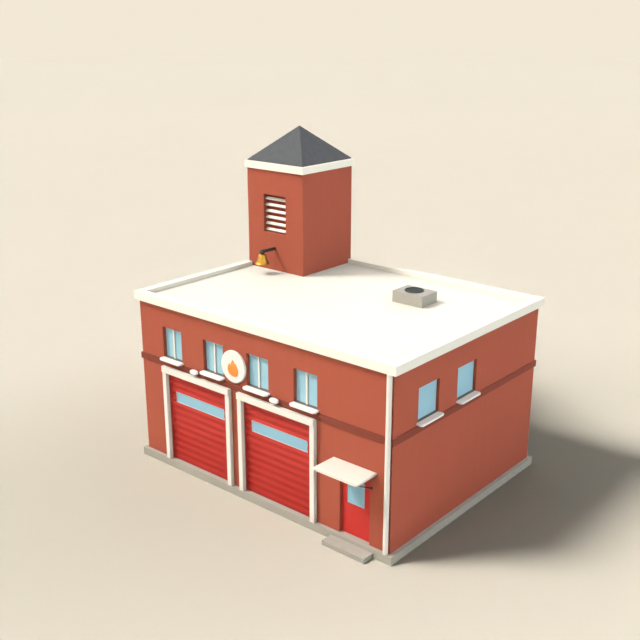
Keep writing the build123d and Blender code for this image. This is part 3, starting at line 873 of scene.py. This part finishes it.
# ------------------------------------------------------------------ round sign
def sign_pieces():
    bm = bmesh.new()
    sx, sz, r, thick = 5.075, 5.035, 0.600, 0.080
    e = 0.026
    prof = [(0, 0.0), (r - 0.004, 0.0)] + [(r, -0.004), (r, -thick + e)]
    prof += [(r - e + e * math.cos(math.radians(a)), -thick + e - e * math.sin(math.radians(a))) for a in (18, 36, 54, 72, 90)]
    prof += [(r - 0.060, -thick), (r - 0.064, -thick + 0.0015), (r - 0.070, -thick + 0.0015), (r - 0.074, -thick), (0, -thick)]
    lathe(bm, prof, (sx, 0.0, sz), "Y", 128)
    put("round_sign", bm, ["sign"], ["sign_disc"])

    # flame: own outline, tips kept sharp, flanks curved
    bm = bmesh.new()
    pts = [
        (-0.085, -0.318), (-0.190, -0.262), (-0.246, -0.130), (-0.228, 0.000), (-0.150, 0.112), (-0.122, 0.020), (-0.078, 0.120),
        (0.005, 0.280), (0.062, 0.205), (0.085, 0.115), (0.122, 0.165), (0.205, 0.050), (0.258, -0.110), (0.232, -0.250), (0.130, -0.338), (0.020, -0.345),
    ]
    sharp = {0, 4, 5, 7, 9, 10, 15}
    n = len(pts)
    outline = []
    for i in range(n):
        p0, p1, p2, p3 = (Vector(pts[(i + k) % n]) for k in (-1, 0, 1, 2))
        m1 = (p2 - p1) if i in sharp else (p2 - p0) * 0.5
        m2 = (p2 - p1) if (i + 1) % n in sharp else (p3 - p1) * 0.5
        for k in range(6):
            t = k / 6
            h = (2 * t**3 - 3 * t**2 + 1) * p1 + (t**3 - 2 * t**2 + t) * m1 + (-2 * t**3 + 3 * t**2) * p2 + (t**3 - t**2) * m2
            outline.append((h.x, h.y))
    face = bm.faces.new([bm.verts.new(at(sx + u, -thick, sz + w)) for u, w in outline])
    got = bmesh.ops.extrude_face_region(bm, geom=[face])
    bmesh.ops.translate(bm, verts=[g for g in got["geom"] if isinstance(g, bmesh.types.BMVert)], vec=(0, -0.016, 0))
    front = [e for e in bm.edges if all(abs(v.co.y + OY + thick + 0.016) < 1e-5 for v in e.verts)]
    bmesh.ops.bevel(bm, geom=front, offset=0.004, segments=2, profile=0.5, affect="EDGES", clamp_overlap=True)
    put("flame_emblem", bm, ["flame"], ["sign_emblem"], smooth=30.0)


# ------------------------------------------------------------------ entrance
def entrance_pieces():
    x0, x1, top = 9.90, 11.16, 2.60
    bm = bmesh.new()
    lattice(
        bm, [x0, x0 + 0.06, x1 - 0.06, x1], [0.18, 0.26], [0.30, top - 0.06, top],
        lambda x, y, z: x < x0 + 0.06 or x > x1 - 0.06 or z > top - 0.06, 0.006, 2, skip=on(2, 0.30),
    )
    put("entrance_frame", bm, ["door_red"], ["door_frame"])

    # leaf with its pane opening and a raised glazing bead on both faces
    bm = bmesh.new()
    lx0, lx1, ly0, ly1, lz0, lz1 = x0 + 0.010, x1 - 0.010, 0.120, 0.170, 0.308, 2.590
    px0, px1, pz0, pz1 = 10.12, 10.86, 1.46, 2.38
    hole = lambda x, y, z: not (px0 < x < px1 and pz0 < z < pz1)
    lattice(bm, [lx0, px0, px1, lx1], [ly0, ly1], [lz0, pz0, pz1, lz1], hole, 0.004, 2)
    b = 0.022
    for y0, y1 in ((ly0 - 0.006, ly0 + 0.012), (ly1 - 0.012, ly1 + 0.006)):
        lattice(bm, [px0 - b, px0 + 0.006, px1 - 0.006, px1 + b], [y0, y1], [pz0 - b, pz0 + 0.006, pz1 - 0.006, pz1 + b],
                lambda x, y, z: not (px0 + 0.006 < x < px1 - 0.006 and pz0 + 0.006 < z < pz1 - 0.006), 0.004, 2)
    rbox(bm, lx0 + 0.02, lx1 - 0.02, ly0 + 0.014, ly1 - 0.014, lz0 - 0.005, lz0 + 0.004, 0.002, 1, mat=1)
    put("entrance_leaf", bm, ["door_red", "rubber"], ["entrance_door"], body="entrance_door_leaf")
    bm = bmesh.new()
    rbox(bm, px0 + 0.001, px1 - 0.001, ly0 + 0.013, ly0 + 0.037, pz0 + 0.001, pz1 - 0.001, 0.002, 1)
    put("entrance_pane", bm, ["glass"], ["entrance_door_glass"], body="entrance_door_leaf")

    # hinges: knuckles with turned ends, fixed lugs
    kn, br = bmesh.new(), bmesh.new()
    for z in (0.56, 1.45, 2.34):
        pin(kn, 9.920, 0.102, z - 0.035, "Z", 0.012, 0.070, n=24, edge=0.002)
        rbox(kn, 9.912, 9.928, 0.102, 0.122, z - 0.035, z + 0.035, 0.002, 2)
        for lo, hi in ((z - 0.076, z - 0.041), (z + 0.041, z + 0.076)):
            pin(br, 9.920, 0.102, lo, "Z", 0.012, hi - lo, n=24, edge=0.002)
            rbox(br, 9.899, 9.920, 0.095, 0.109, lo, hi, 0.002, 2)
            cap = hi if hi > z else lo - 0.004
            pin(br, 9.920, 0.102, cap, "Z", 0.007, 0.004, n=16)
    put("leaf_hinge_knuckles", kn, ["door_red"], ["entrance_door_hinges"], body="entrance_door_leaf")
    put("jamb_hinge_brackets", br, ["door_red"], ["door_hinge_brackets"])

    # lever on a round rose, both sides, painted with the door
    bm = bmesh.new()
    hx, hz = 11.06, 1.33
    for s, y in ((-1, ly0), (1, ly1)):
        lo, hi = sorted((y, y + s * 0.007))
        pin(bm, hx, lo, hz, "Y", 0.026, hi - lo, n=32)
        lo, hi = sorted((y, y + s * 0.050))
        pin(bm, hx, lo, hz, "Y", 0.010, hi - lo, n=24)
        ya, yb = sorted((y + s * 0.040, y + s * 0.060))
        rbox(bm, hx - 0.108, hx + 0.010, ya, yb, hz - 0.0105, hz + 0.0105, 0.0085, 4)
        lo, hi = sorted((y, y + s * 0.006))
        pin(bm, hx, lo, hz - 0.085, "Y", 0.019, hi - lo, n=28)
        # keyhole: a small block in the near-black paint, painted shade standing for the hole
        lo, hi = sorted((y, y + s * 0.0085))
        rbox(bm, hx - 0.0035, hx + 0.0035, lo, hi, hz - 0.094, hz - 0.076, 0.001, 1, mat=1)
    put("entrance_lever", bm, ["door_red", "dark"], ["entrance_door_handle"], body="entrance_door_leaf")

    # canopy slab and its two rods
    bm = bmesh.new()
    soft_slab(bm, 9.61, 11.415, -1.02, 0.0, 2.92, 3.01, (1, 0.0), 0.070, 0.038)
    put("entrance_canopy", bm, ["canopy"], ["canopy_slab"])
    bm = bmesh.new()
    for x in (9.835, 11.225):
        foot, head = (x, -0.030, 2.418), (x, -0.880, 2.875)
        tube(bm, at(*foot), at(*head), 0.022, 20)
        rbox(bm, x - 0.025, x + 0.025, -0.012, 0.0, 2.380, 2.460, 0.003, 2)
        rbox(bm, x - 0.018, x + 0.018, -0.044, -0.010, 2.395, 2.445, 0.005, 2)
        rbox(bm, x - 0.040, x + 0.040, -0.950, -0.820, 2.888, 2.920, 0.003, 2)
        rbox(bm, x - 0.022, x + 0.022, -0.900, -0.856, 2.862, 2.890, 0.005, 2)
        for y in (-0.935, -0.836):
            hexbolt(bm, (x, y, 2.888), (0, 0, -1), 0.009, 0.008)
    put("canopy_rods", bm, ["iron"], ["canopy_struts"])

    # downpipe: spigot-and-socket lengths, holder bands with a stem to the wall
    bm = bmesh.new()
    cx, cy = 11.88, -0.090
    z0, z1 = 0.30, WALL_TOP
    r = 0.0875
    prof = [(0, z0)] + arc(r - 0.022, z0 + 0.022, 0.022, -90, 0, 4)
    for zc in (2.16, 4.25):
        prof += [(r, zc - 0.075), (0.0900, zc - 0.070), (0.0900, zc - 0.004), (0.0890, zc), (r, zc + 0.002)]
    prof += [(r, z1), (0, z1)]
    lathe(bm, prof, (cx, cy, 0), "Z", 56)
    for zc in (1.15, 3.20, 5.55):
        lathe(bm, [(r - 0.004, zc - 0.016), (0.0900, zc - 0.016), (0.0900, zc + 0.016), (r - 0.004, zc + 0.016)], (cx, cy, 0), "Z", 56, closed=True)
        rbox(bm, cx - 0.020, cx + 0.020, -0.020, 0.0, zc - 0.014, zc + 0.014, 0.003, 2, skip=on(1, 0.0))
    put("rain_downpipe", bm, ["trim"], ["downpipe"])


# ------------------------------------------------------------------ tower
def tower_pieces():
    X1, Y0, T, TOP = 3.05, 5.95, 0.25, 10.81
    lx0, lx1, lz0, lz1 = 0.90, 2.125, 8.25, 9.82
    rim = lambda x, y, z: z < RIM_TOP and (x < 0.175 or y > D - 0.175)

    def paint_in(axis, value, sign):
        return lambda c, d: 1 if (abs(c[axis] - value) < 1e-3 and d[axis] == sign) else 0

    bm = bmesh.new()

    def skip_front(a, b):
        if on(1, Y0 + T)(a, b) or on(2, TOP)(a, b) or on(2, DECK)(a, b) or on(2, RIM_TOP)(a, b):
            return True
        if on(0, 0.175)(a, b):
            return True
        return (on(0, 0.0)(a, b) or on(0, X1)(a, b)) and abs(a.z - b.z) < 1e-4

    lattice(
        bm, [0.0, 0.175, 0.25, lx0, lx1, X1 - T, X1], [Y0, Y0 + T], [DECK, RIM_TOP, lz0, lz1, TOP],
        lambda x, y, z: not rim(x, y, z) and not (lx0 < x < lx1 and lz0 < z < lz1), 0.012, 3, skip_front,
        paint=paint_in(1, Y0 + T, 1),
    )
    put("hose_tower_front", bm, ["masonry", "tower_inside"], ["tower_front_piers", "tower_front_panels"])

    bm = bmesh.new()
    lattice(bm, [0.0, T], [Y0 + T, D - T], [RIM_TOP, TOP], lambda *c: True, paint=paint_in(0, T, 1))
    lattice(bm, [X1 - T, X1], [Y0 + T, D - T], [DECK, RIM_TOP, TOP], lambda *c: True, paint=paint_in(0, X1 - T, -1))
    put("hose_tower_sides", bm, ["masonry", "tower_inside"], ["tower_side_walls"])

    bm = bmesh.new()

    def skip_rear(a, b):
        if on(1, D - T)(a, b) or on(2, TOP)(a, b) or on(2, DECK)(a, b) or on(2, RIM_TOP)(a, b) or on(1, D - 0.175)(a, b):
            return True
        return on(0, 0.175)(a, b) or abs(a.z - b.z) < 1e-4

    lattice(
        bm, [0.0, 0.175, X1], [D - T, D - 0.175, D], [DECK, RIM_TOP, TOP], lambda x, y, z: not rim(x, y, z), 0.012, 3, skip_rear,
        paint=paint_in(1, D - T, -1),
    )
    put("hose_tower_rear", bm, ["masonry", "tower_inside"], ["tower_back_wall"])

    # louvre slats: rounded blades on their slope
    bm = bmesh.new()
    for k in range(6):
        z = 9.630 - 0.258 * k
        part = bmesh.new()
        rbox(part, lx0, lx1, -0.065, 0.065, -0.0225, 0.0225, 0.021, 4, skip=lambda a, b: on(0, lx0)(a, b) or on(0, lx1)(a, b))
        turn = (
            Matrix.Translation(at(0, Y0 + 0.175, z)) @ Matrix.Rotation(math.radians(35), 4, "X")
            @ Matrix.Translation(-at(0, 0, 0))
        )
        bmesh.ops.transform(part, matrix=turn, verts=part.verts)
        me = bpy.data.meshes.new("slat")
        part.to_mesh(me)
        part.free()
        bm.from_mesh(me)
        bpy.data.meshes.remove(me)
    # matchboarding on the inside of the wall closes the opening behind the slats
    n = 7
    step = (lx1 - lx0 + 0.08) / n
    for k in range(n):
        u = lx0 - 0.04 + k * step
        rbox(bm, u, u + step, Y0 + 0.250, Y0 + 0.274, lz0 - 0.04, lz1 + 0.04, 0.005, 2, mat=1)
    put("louvre_slats", bm, ["trim", "louvre_back"], ["tower_louvre"])

    o = 0.08
    bm = bmesh.new()
    lattice(bm, [-o, 0.0, X1, X1 + o], [Y0 - o, Y0, D, D + o], [TOP, 11.12], lambda *c: True, 0.018, 4)
    # the soffit rises a little outwards from the wall to its drip edge
    for v in bm.verts:
        p = v.co - at(0, 0, 0)
        out = max(-p.x, p.x - X1, Y0 - p.y, p.y - D)
        if p.z < TOP + 0.030 and out > 0.030:
            v.co.z += 0.022
    put("hose_tower_cornice", bm, ["cornice"], ["tower_cornice"])

    # pyramid: sheet-metal faces on a thin drip edge, hip rolls and low standing seams
    bm = bmesh.new()
    a, b, c, d, base, apex = -o + 0.09, X1 + o - 0.09, Y0 - o + 0.09, D + o - 0.09, 11.12, 12.487
    cx, cy = (a + b) / 2, (c + d) / 2
    drop = 0.018
    tip = 0.012
    rings = [
        [(a, c, base), (b, c, base), (b, d, base), (a, d, base)],
        [(a, c, base + drop), (b, c, base + drop), (b, d, base + drop), (a, d, base + drop)],
        [(cx - tip, cy - tip, apex - 0.006), (cx + tip, cy - tip, apex - 0.006), (cx + tip, cy + tip, apex - 0.006), (cx - tip, cy + tip, apex - 0.006)],
    ]
    vs = [[bm.verts.new(at(*p)) for p in r] for r in rings]
    bm.faces.new(vs[0][::-1])
    bm.faces.new(vs[2])
    for lo, hi in zip(vs, vs[1:]):
        for i in range(4):
            j = (i + 1) % 4
            bm.faces.new((lo[i], lo[j], hi[j], hi[i]))
    for i, (px, py) in enumerate(((a, c), (b, c), (b, d), (a, d))):
        lo = at(px, py, base + drop)
        hi = at(cx, cy, apex - 0.010)
        run = (hi - lo).normalized()
        tube(bm, lo + run * 0.020, hi - run * 0.01, 0.009, 12)
    # seams: narrow upstands up the slope, on each face
    slope = Vector((0, 0, 1))
    for side in range(4):
        ux, uy = ((1, 0), (0, 1), (-1, 0), (0, -1))[side]
        nx, ny = ((0, -1), (1, 0), (0, 1), (-1, 0))[side]
        half = (b - a) / 2 if side % 2 == 0 else (d - c) / 2
        run = (d - c) / 2 if side % 2 == 0 else (b - a) / 2
        rise = apex - base - drop
        for q in (-0.75, -0.5, -0.25, 0.0, 0.25, 0.5, 0.75):
            u = q * half
            frac = 1 - abs(q)
            lo = at(cx + ux * u + nx * run, cy + uy * u + ny * run, base + drop)
            hi = at(cx + ux * u + nx * run * (1 - frac), cy + uy * u + ny * run * (1 - frac), base + drop + rise * frac)
            hi = lo + (hi - lo) * (0.985 if q else 0.97)
            along = (hi - lo).normalized()
            side_v = Vector((ux, uy, 0))
            up = along.cross(side_v)
            if up.z < 0:
                up = -up
            h, w = 0.0015, 0.003
            pts = []
            for p in (lo + along * 0.004, hi):
                pts.append([p + side_v * s * w * k + up * t for s, t, k in ((-1, -0.002, 1), (1, -0.002, 1), (1, h, 0.7), (-1, h, 0.7))])
            vv = [[bm.verts.new(p) for p in row] for row in pts]
            bm.faces.new(vv[0])
            bm.faces.new(vv[1][::-1])
            for i in range(4):
                j = (i + 1) % 4
                bm.faces.new((vv[0][i], vv[1][i], vv[1][j], vv[0][j]))
    bm.normal_update()
    # slopes facing along x take the darker side paint: painted shade
    for face in bm.faces:
        if abs(face.normal.x) > abs(face.normal.y):
            face.material_index = 1
    put("pyramid_roof", bm, ["roof_grey", "roof_grey_side_painted_shade"], ["tower_roof"], weighted=False, smooth=25.0)

    # bell arm: round bar with domed end, built into the wall
    bm = bmesh.new()
    bx, by, bz = 1.490, 5.200, 7.610
    r = 0.064
    y0 = by + 0.082
    prof = [(0, y0)] + [(r * math.sin(math.radians(t)), y0 + 0.024 * (1 - math.cos(math.radians(t)))) for t in (18, 36, 54, 72, 90)]
    prof += [(r, Y0 - 0.004), (r + 0.002, Y0 - 0.001), (r + 0.002, Y0), (0, Y0)]
    lathe(bm, prof, (bx, 0, bz), "Y", 40)
    put("bell_bracket", bm, ["iron"], ["bell_arm"])

    bm = bmesh.new()
    e = 0.040
    prof = [(0, by - 0.076)] + [(0.086 - e + e * math.sin(math.radians(t)), by - 0.076 + e * (1 - math.cos(math.radians(t)))) for t in (0, 15, 30, 45, 60, 75, 90)]
    prof += [(0.086 - e + e * math.cos(math.radians(t)), by + 0.076 - e + e * math.sin(math.radians(t))) for t in (0, 15, 30, 45, 60, 75, 90)]
    prof += [(0, by + 0.076)]
    lathe(bm, prof, (bx, 0, bz), "Y", 40)
    lathe(bm, [(0, 7.508), (0.052, 7.508), (0.054, 7.512), (0.054, 7.520), (0.044, 7.532), (0.040, 7.560), (0.040, 7.600), (0, 7.600)], (bx, by, 0), "Z", 32)
    put("bell_yoke", bm, ["iron"], ["bell_headstock"], body="swinging_bell")

    bm = bmesh.new()
    z = 7.108
    outer = [(0.0, 0.400), (0.098, 0.400), (0.112, 0.397), (0.124, 0.390), (0.133, 0.378), (0.139, 0.362), (0.150, 0.320), (0.168, 0.254), (0.186, 0.186),
             (0.204, 0.128), (0.219, 0.084), (0.223, 0.080), (0.226, 0.072), (0.233, 0.060), (0.247, 0.040), (0.260, 0.022), (0.268, 0.012), (0.270, 0.006), (0.268, 0.001), (0.262, 0.0)]
    inner = [(0.250, 0.0), (0.245, 0.004), (0.240, 0.014), (0.220, 0.050), (0.198, 0.084), (0.180, 0.140), (0.162, 0.196), (0.143, 0.264), (0.126, 0.330), (0.116, 0.368), (0.104, 0.378), (0.0, 0.378)]
    prof = [(r * 1.08, h + z) for r, h in outer + inner]
    lathe(bm, prof, (bx, by, 0), "Z", 72)
    put("bronze_bell", bm, ["bell"], ["bell"], body="swinging_bell", smooth=50.0)

    bm = bmesh.new()
    prof = [(0, 7.132)] + [(0.048 * math.sin(math.radians(t)), 7.180 - 0.048 * math.cos(math.radians(t))) for t in range(15, 165, 15)]
    prof += [(0.014, 7.226), (0.014, 7.480), (0.010, 7.486), (0, 7.486)]
    lathe(bm, prof, (bx, by, 0), "Z", 28)
    put("bell_striker", bm, ["iron"], ["bell_clapper"], body="swinging_bell")


# ------------------------------------------------------------------ rooftop unit
def unit_pieces():
    bm = bmesh.new()
    x0, x1, y0, y1, z1 = 7.82, 9.14, 5.56, 6.54, 7.10
    rbox(bm, x0, x1, y0, y1, DECK, z1, 0.030, 5, skip=on(2, DECK))
    # small screws along the foot of the casing
    for u in (x0 + 0.16, (x0 + x1) / 2, x1 - 0.16):
        hexbolt(bm, (u, y0, DECK + 0.045), (0, -1, 0), 0.006, 0.004)
        hexbolt(bm, (u, y1, DECK + 0.045), (0, 1, 0), 0.006, 0.004)
    for v in (y0 + 0.16, (y0 + y1) / 2, y1 - 0.16):
        hexbolt(bm, (x0, v, DECK + 0.045), (-1, 0, 0), 0.006, 0.004)
        hexbolt(bm, (x1, v, DECK + 0.045), (1, 0, 0), 0.006, 0.004)
    put("rooftop_unit_case", bm, ["unit"], ["rooftop_unit"])

    bm = bmesh.new()
    cx, cy = 8.445, 6.065
    R = 0.355
    ring = [(R - 0.040, z1), (R, z1), (R, z1 + 0.030), (R - 0.003, z1 + 0.037), (R - 0.010, z1 + 0.040), (R - 0.018, z1 + 0.040), (R - 0.024, z1 + 0.036), (R - 0.040, z1 + 0.010)]
    lathe(bm, ring, (cx, cy, 0), "Z", 72, closed=True)
    lathe(bm, [(0, z1), (R - 0.030, z1), (R - 0.030, z1 + 0.006), (0, z1 + 0.006)], (cx, cy, 0), "Z", 72)
    # blades under the guard
    hub = at(cx, cy, z1)
    for i in range(5):
        t0 = 2 * math.pi * i / 5
        pts_lo, pts_hi = [], []
        for s in range(7):
            f = s / 6
            rr = 0.06 + (R - 0.10) * f
            spread = 0.42 + 0.16 * math.sin(math.pi * f)
            for sgn, acc in ((-1, pts_lo), (1, pts_hi)):
                t = t0 + sgn * spread * (0.75 - 0.25 * f) + 0.35 * f
                acc.append(hub + Vector((rr * math.cos(t), rr * math.sin(t), 0.012 + (0.012 if sgn > 0 else 0.0))))
        for off in (0.0,):
            a = [bm.verts.new(p) for p in pts_lo]
            b = [bm.verts.new(p) for p in pts_hi]
            c = [bm.verts.new(p - Vector((0, 0, 0.003))) for p in pts_lo]
            d = [bm.verts.new(p - Vector((0, 0, 0.003))) for p in pts_hi]
            for k in range(6):
                bm.faces.new((a[k], a[k + 1], b[k + 1], b[k]))
                bm.faces.new((c[k + 1], c[k], d[k], d[k + 1]))
                bm.faces.new((a[k + 1], a[k], c[k], c[k + 1]))
                bm.faces.new((b[k], b[k + 1], d[k + 1], d[k]))
            bm.faces.new((a[0], b[0], d[0], c[0]))
            bm.faces.new((b[6], a[6], c[6], d[6]))
    lathe(bm, [(0, z1 + 0.004), (0.07, z1 + 0.004), (0.07, z1 + 0.026), (0.064, z1 + 0.030), (0, z1 + 0.030)], (cx, cy, 0), "Z", 32)
    # wire guard
    for rr in (0.09, 0.135, 0.18, 0.225, 0.27, 0.315):
        lathe(bm, arc(rr, z1 + 0.0345, 0.0030, 0, 315, 7), (cx, cy, 0), "Z", 72, closed=True)
    for i in range(12):
        t = 2 * math.pi * i / 12
        p = Vector((math.cos(t), math.sin(t), 0))
        tube(bm, hub + p * 0.07 + Vector((0, 0, 0.0325)), hub + p * (R - 0.020) + Vector((0, 0, 0.0325)), 0.0028, 8)
    put("rooftop_unit_fan_guard", bm, ["fan"], ["rooftop_unit_fan"])


ground_pieces()
wall_pieces()
ring_pieces()
window_pieces()
bay_pieces()
sign_pieces()
entrance_pieces()
tower_pieces()
unit_pieces()

def paint(node, material):
    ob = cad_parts[node]
    ob.data.materials.clear()
    ob.data.materials.append(M[material])


paint("first_floor_slab", "screed")


# ------------------------------------------------------------------ floor, light, camera
def floor_material():
    """Pale studio floor with painted shade: a little deeper in tone round the building, drawn out the way the light
    falls.
    Far off it passes into the tone of the backdrop, so no horizon line shows."""
    s = Surface("studio_floor")
    turn = s.node("ShaderNodeMapping")
    turn.inputs["Location"].default_value = (2.893, -0.515, 0.0)
    turn.inputs["Rotation"].default_value = (0.0, 0.0, -1.0495)
    s.link(s.coord, turn.inputs["Vector"])
    wide = s.node("ShaderNodeVectorMath", operation="MULTIPLY")
    wide.inputs[1].default_value = (1.0, 1.722, 0.0)
    s.link(turn.outputs[0], wide.inputs[0])
    n = s.node("ShaderNodeVectorMath", operation="LENGTH")
    s.link(wide.outputs[0], n.inputs[0])
    far = s.remap(n.outputs["Value"], 0.0, 28.85)
    col = s.mix(far, (0.7460, 0.6905, 0.5915), (0.9436, 0.8617, 0.7620))
    speck = s.noise(0.2, 2.0)
    col = s.times(col, s.varied([(speck, 0.006)]))
    reach = s.node("ShaderNodeVectorMath", operation="LENGTH")
    s.link(s.coord, reach.inputs[0])
    col = s.times(col, s.remap(reach.outputs["Value"], 100.0, 400.0, 1.0, 0.0))
    glow = s.remap(reach.outputs["Value"], 100.0, 400.0)
    s.m.cycles.emission_sampling = "NONE"
    return s.set(Base_Color=col, Roughness=0.95, Specular_IOR_Level=0.0, Emission_Color=(0.887, 0.807, 0.665), Emission_Strength=glow)


def stage_pieces():
    me = bpy.data.meshes.new("studio_floor")
    r = 3000.0
    me.from_pydata([(-r, -r, -0.002), (r, -r, -0.002), (r, r, -0.002), (-r, r, -0.002)], [], [(0, 1, 2, 3)])
    me.materials.append(floor_material())
    ob = bpy.data.objects.new("studio_floor", me)
    bpy.context.scene.collection.objects.link(ob)
    return ob


def receivers(name, ob, state):
    """A set of receivers for a light: all but ob (EXCLUDE), or ob alone (INCLUDE)."""
    coll = bpy.data.collections.new(name)
    coll.objects.link(ob)
    coll.collection_objects[0].light_linking.link_state = state
    return coll


def sun(name, travel, strength, colour, angle, onto=None):
    data = bpy.data.lights.new(name, "SUN")
    data.cycles.use_multiple_importance_sampling = onto is None
    data.cycles.max_bounces = 1 if onto is None else 0
    data.energy = strength
    data.color = colour
    data.angle = math.radians(angle)
    ob = bpy.data.objects.new(name, data)
    ob.rotation_euler = Vector(travel).to_track_quat("-Z", "Y").to_euler()
    ob.location = -Vector(travel) * 20
    bpy.context.scene.collection.objects.link(ob)
    if onto is not None:
        ob.light_linking.receiver_collection = onto
    return ob


# One soft key, an overhead dome, broad fills from the right, front and back. The floor has a
# dome of its own, so its soft shadow keeps the depth that it has under a studio sweep.
studio_floor = stage_pieces()
building_only = receivers("all_but_floor", studio_floor, "EXCLUDE")
floor_only = receivers("floor_alone", studio_floor, "INCLUDE")
sun("key_light", (0.99, 0.90, -1.5), 3.054, (1.0, 0.977, 0.907), 17.0)
sun("dome_light", (0.0, 0.0, -1.0), 2.177, (1.0, 0.866, 0.847), 180.0, building_only)
sun("right_fill", (-1.0, 0.0, 0.0), 2.677, (0.773, 0.946, 1.0), 60.0, building_only)
sun("front_fill", (0.0, 1.0, 0.0), 1.549, (1.0, 0.955, 0.799), 60.0, building_only)
sun("back_fill", (0.0, -1.0, -0.1), 1.256, (1.0, 0.98, 0.95), 60.0, building_only)
sun("left_fill", (1.0, 0.25, -0.1), 0.60, (1.0, 0.98, 0.95), 60.0, building_only)
sun("floor_dome", (0.0, 0.0, -1.0), 0.735, (0.965, 1.0, 0.960), 180.0, floor_only)

world = bpy.data.worlds.new("studio")
world.use_nodes = True
bg = world.node_tree.nodes["Background"]
bg.inputs["Color"].default_value = (0.887, 0.807, 0.665, 1.0)
bg.inputs["Strength"].default_value = 1.0
bpy.context.scene.world = world
world.cycles_visibility.diffuse = False

view = bpy.context.scene.view_settings
view.view_transform = "Standard"
view.look = "None"
view.exposure = 0.0
view.gamma = 1.0

cam = bpy.data.cameras.new("camera")
cam.lens = 51.675
cam.sensor_width = 36.0
cam.clip_end = 20000.0
cam_ob = bpy.data.objects.new("camera", cam)
cam_ob.location = (20.984, -25.505, 16.755)
cam_ob.rotation_euler = (math.radians(90.0 - 18.33), 0.0, math.radians(40.53))
bpy.context.scene.collection.objects.link(cam_ob)
bpy.context.scene.camera = cam_ob
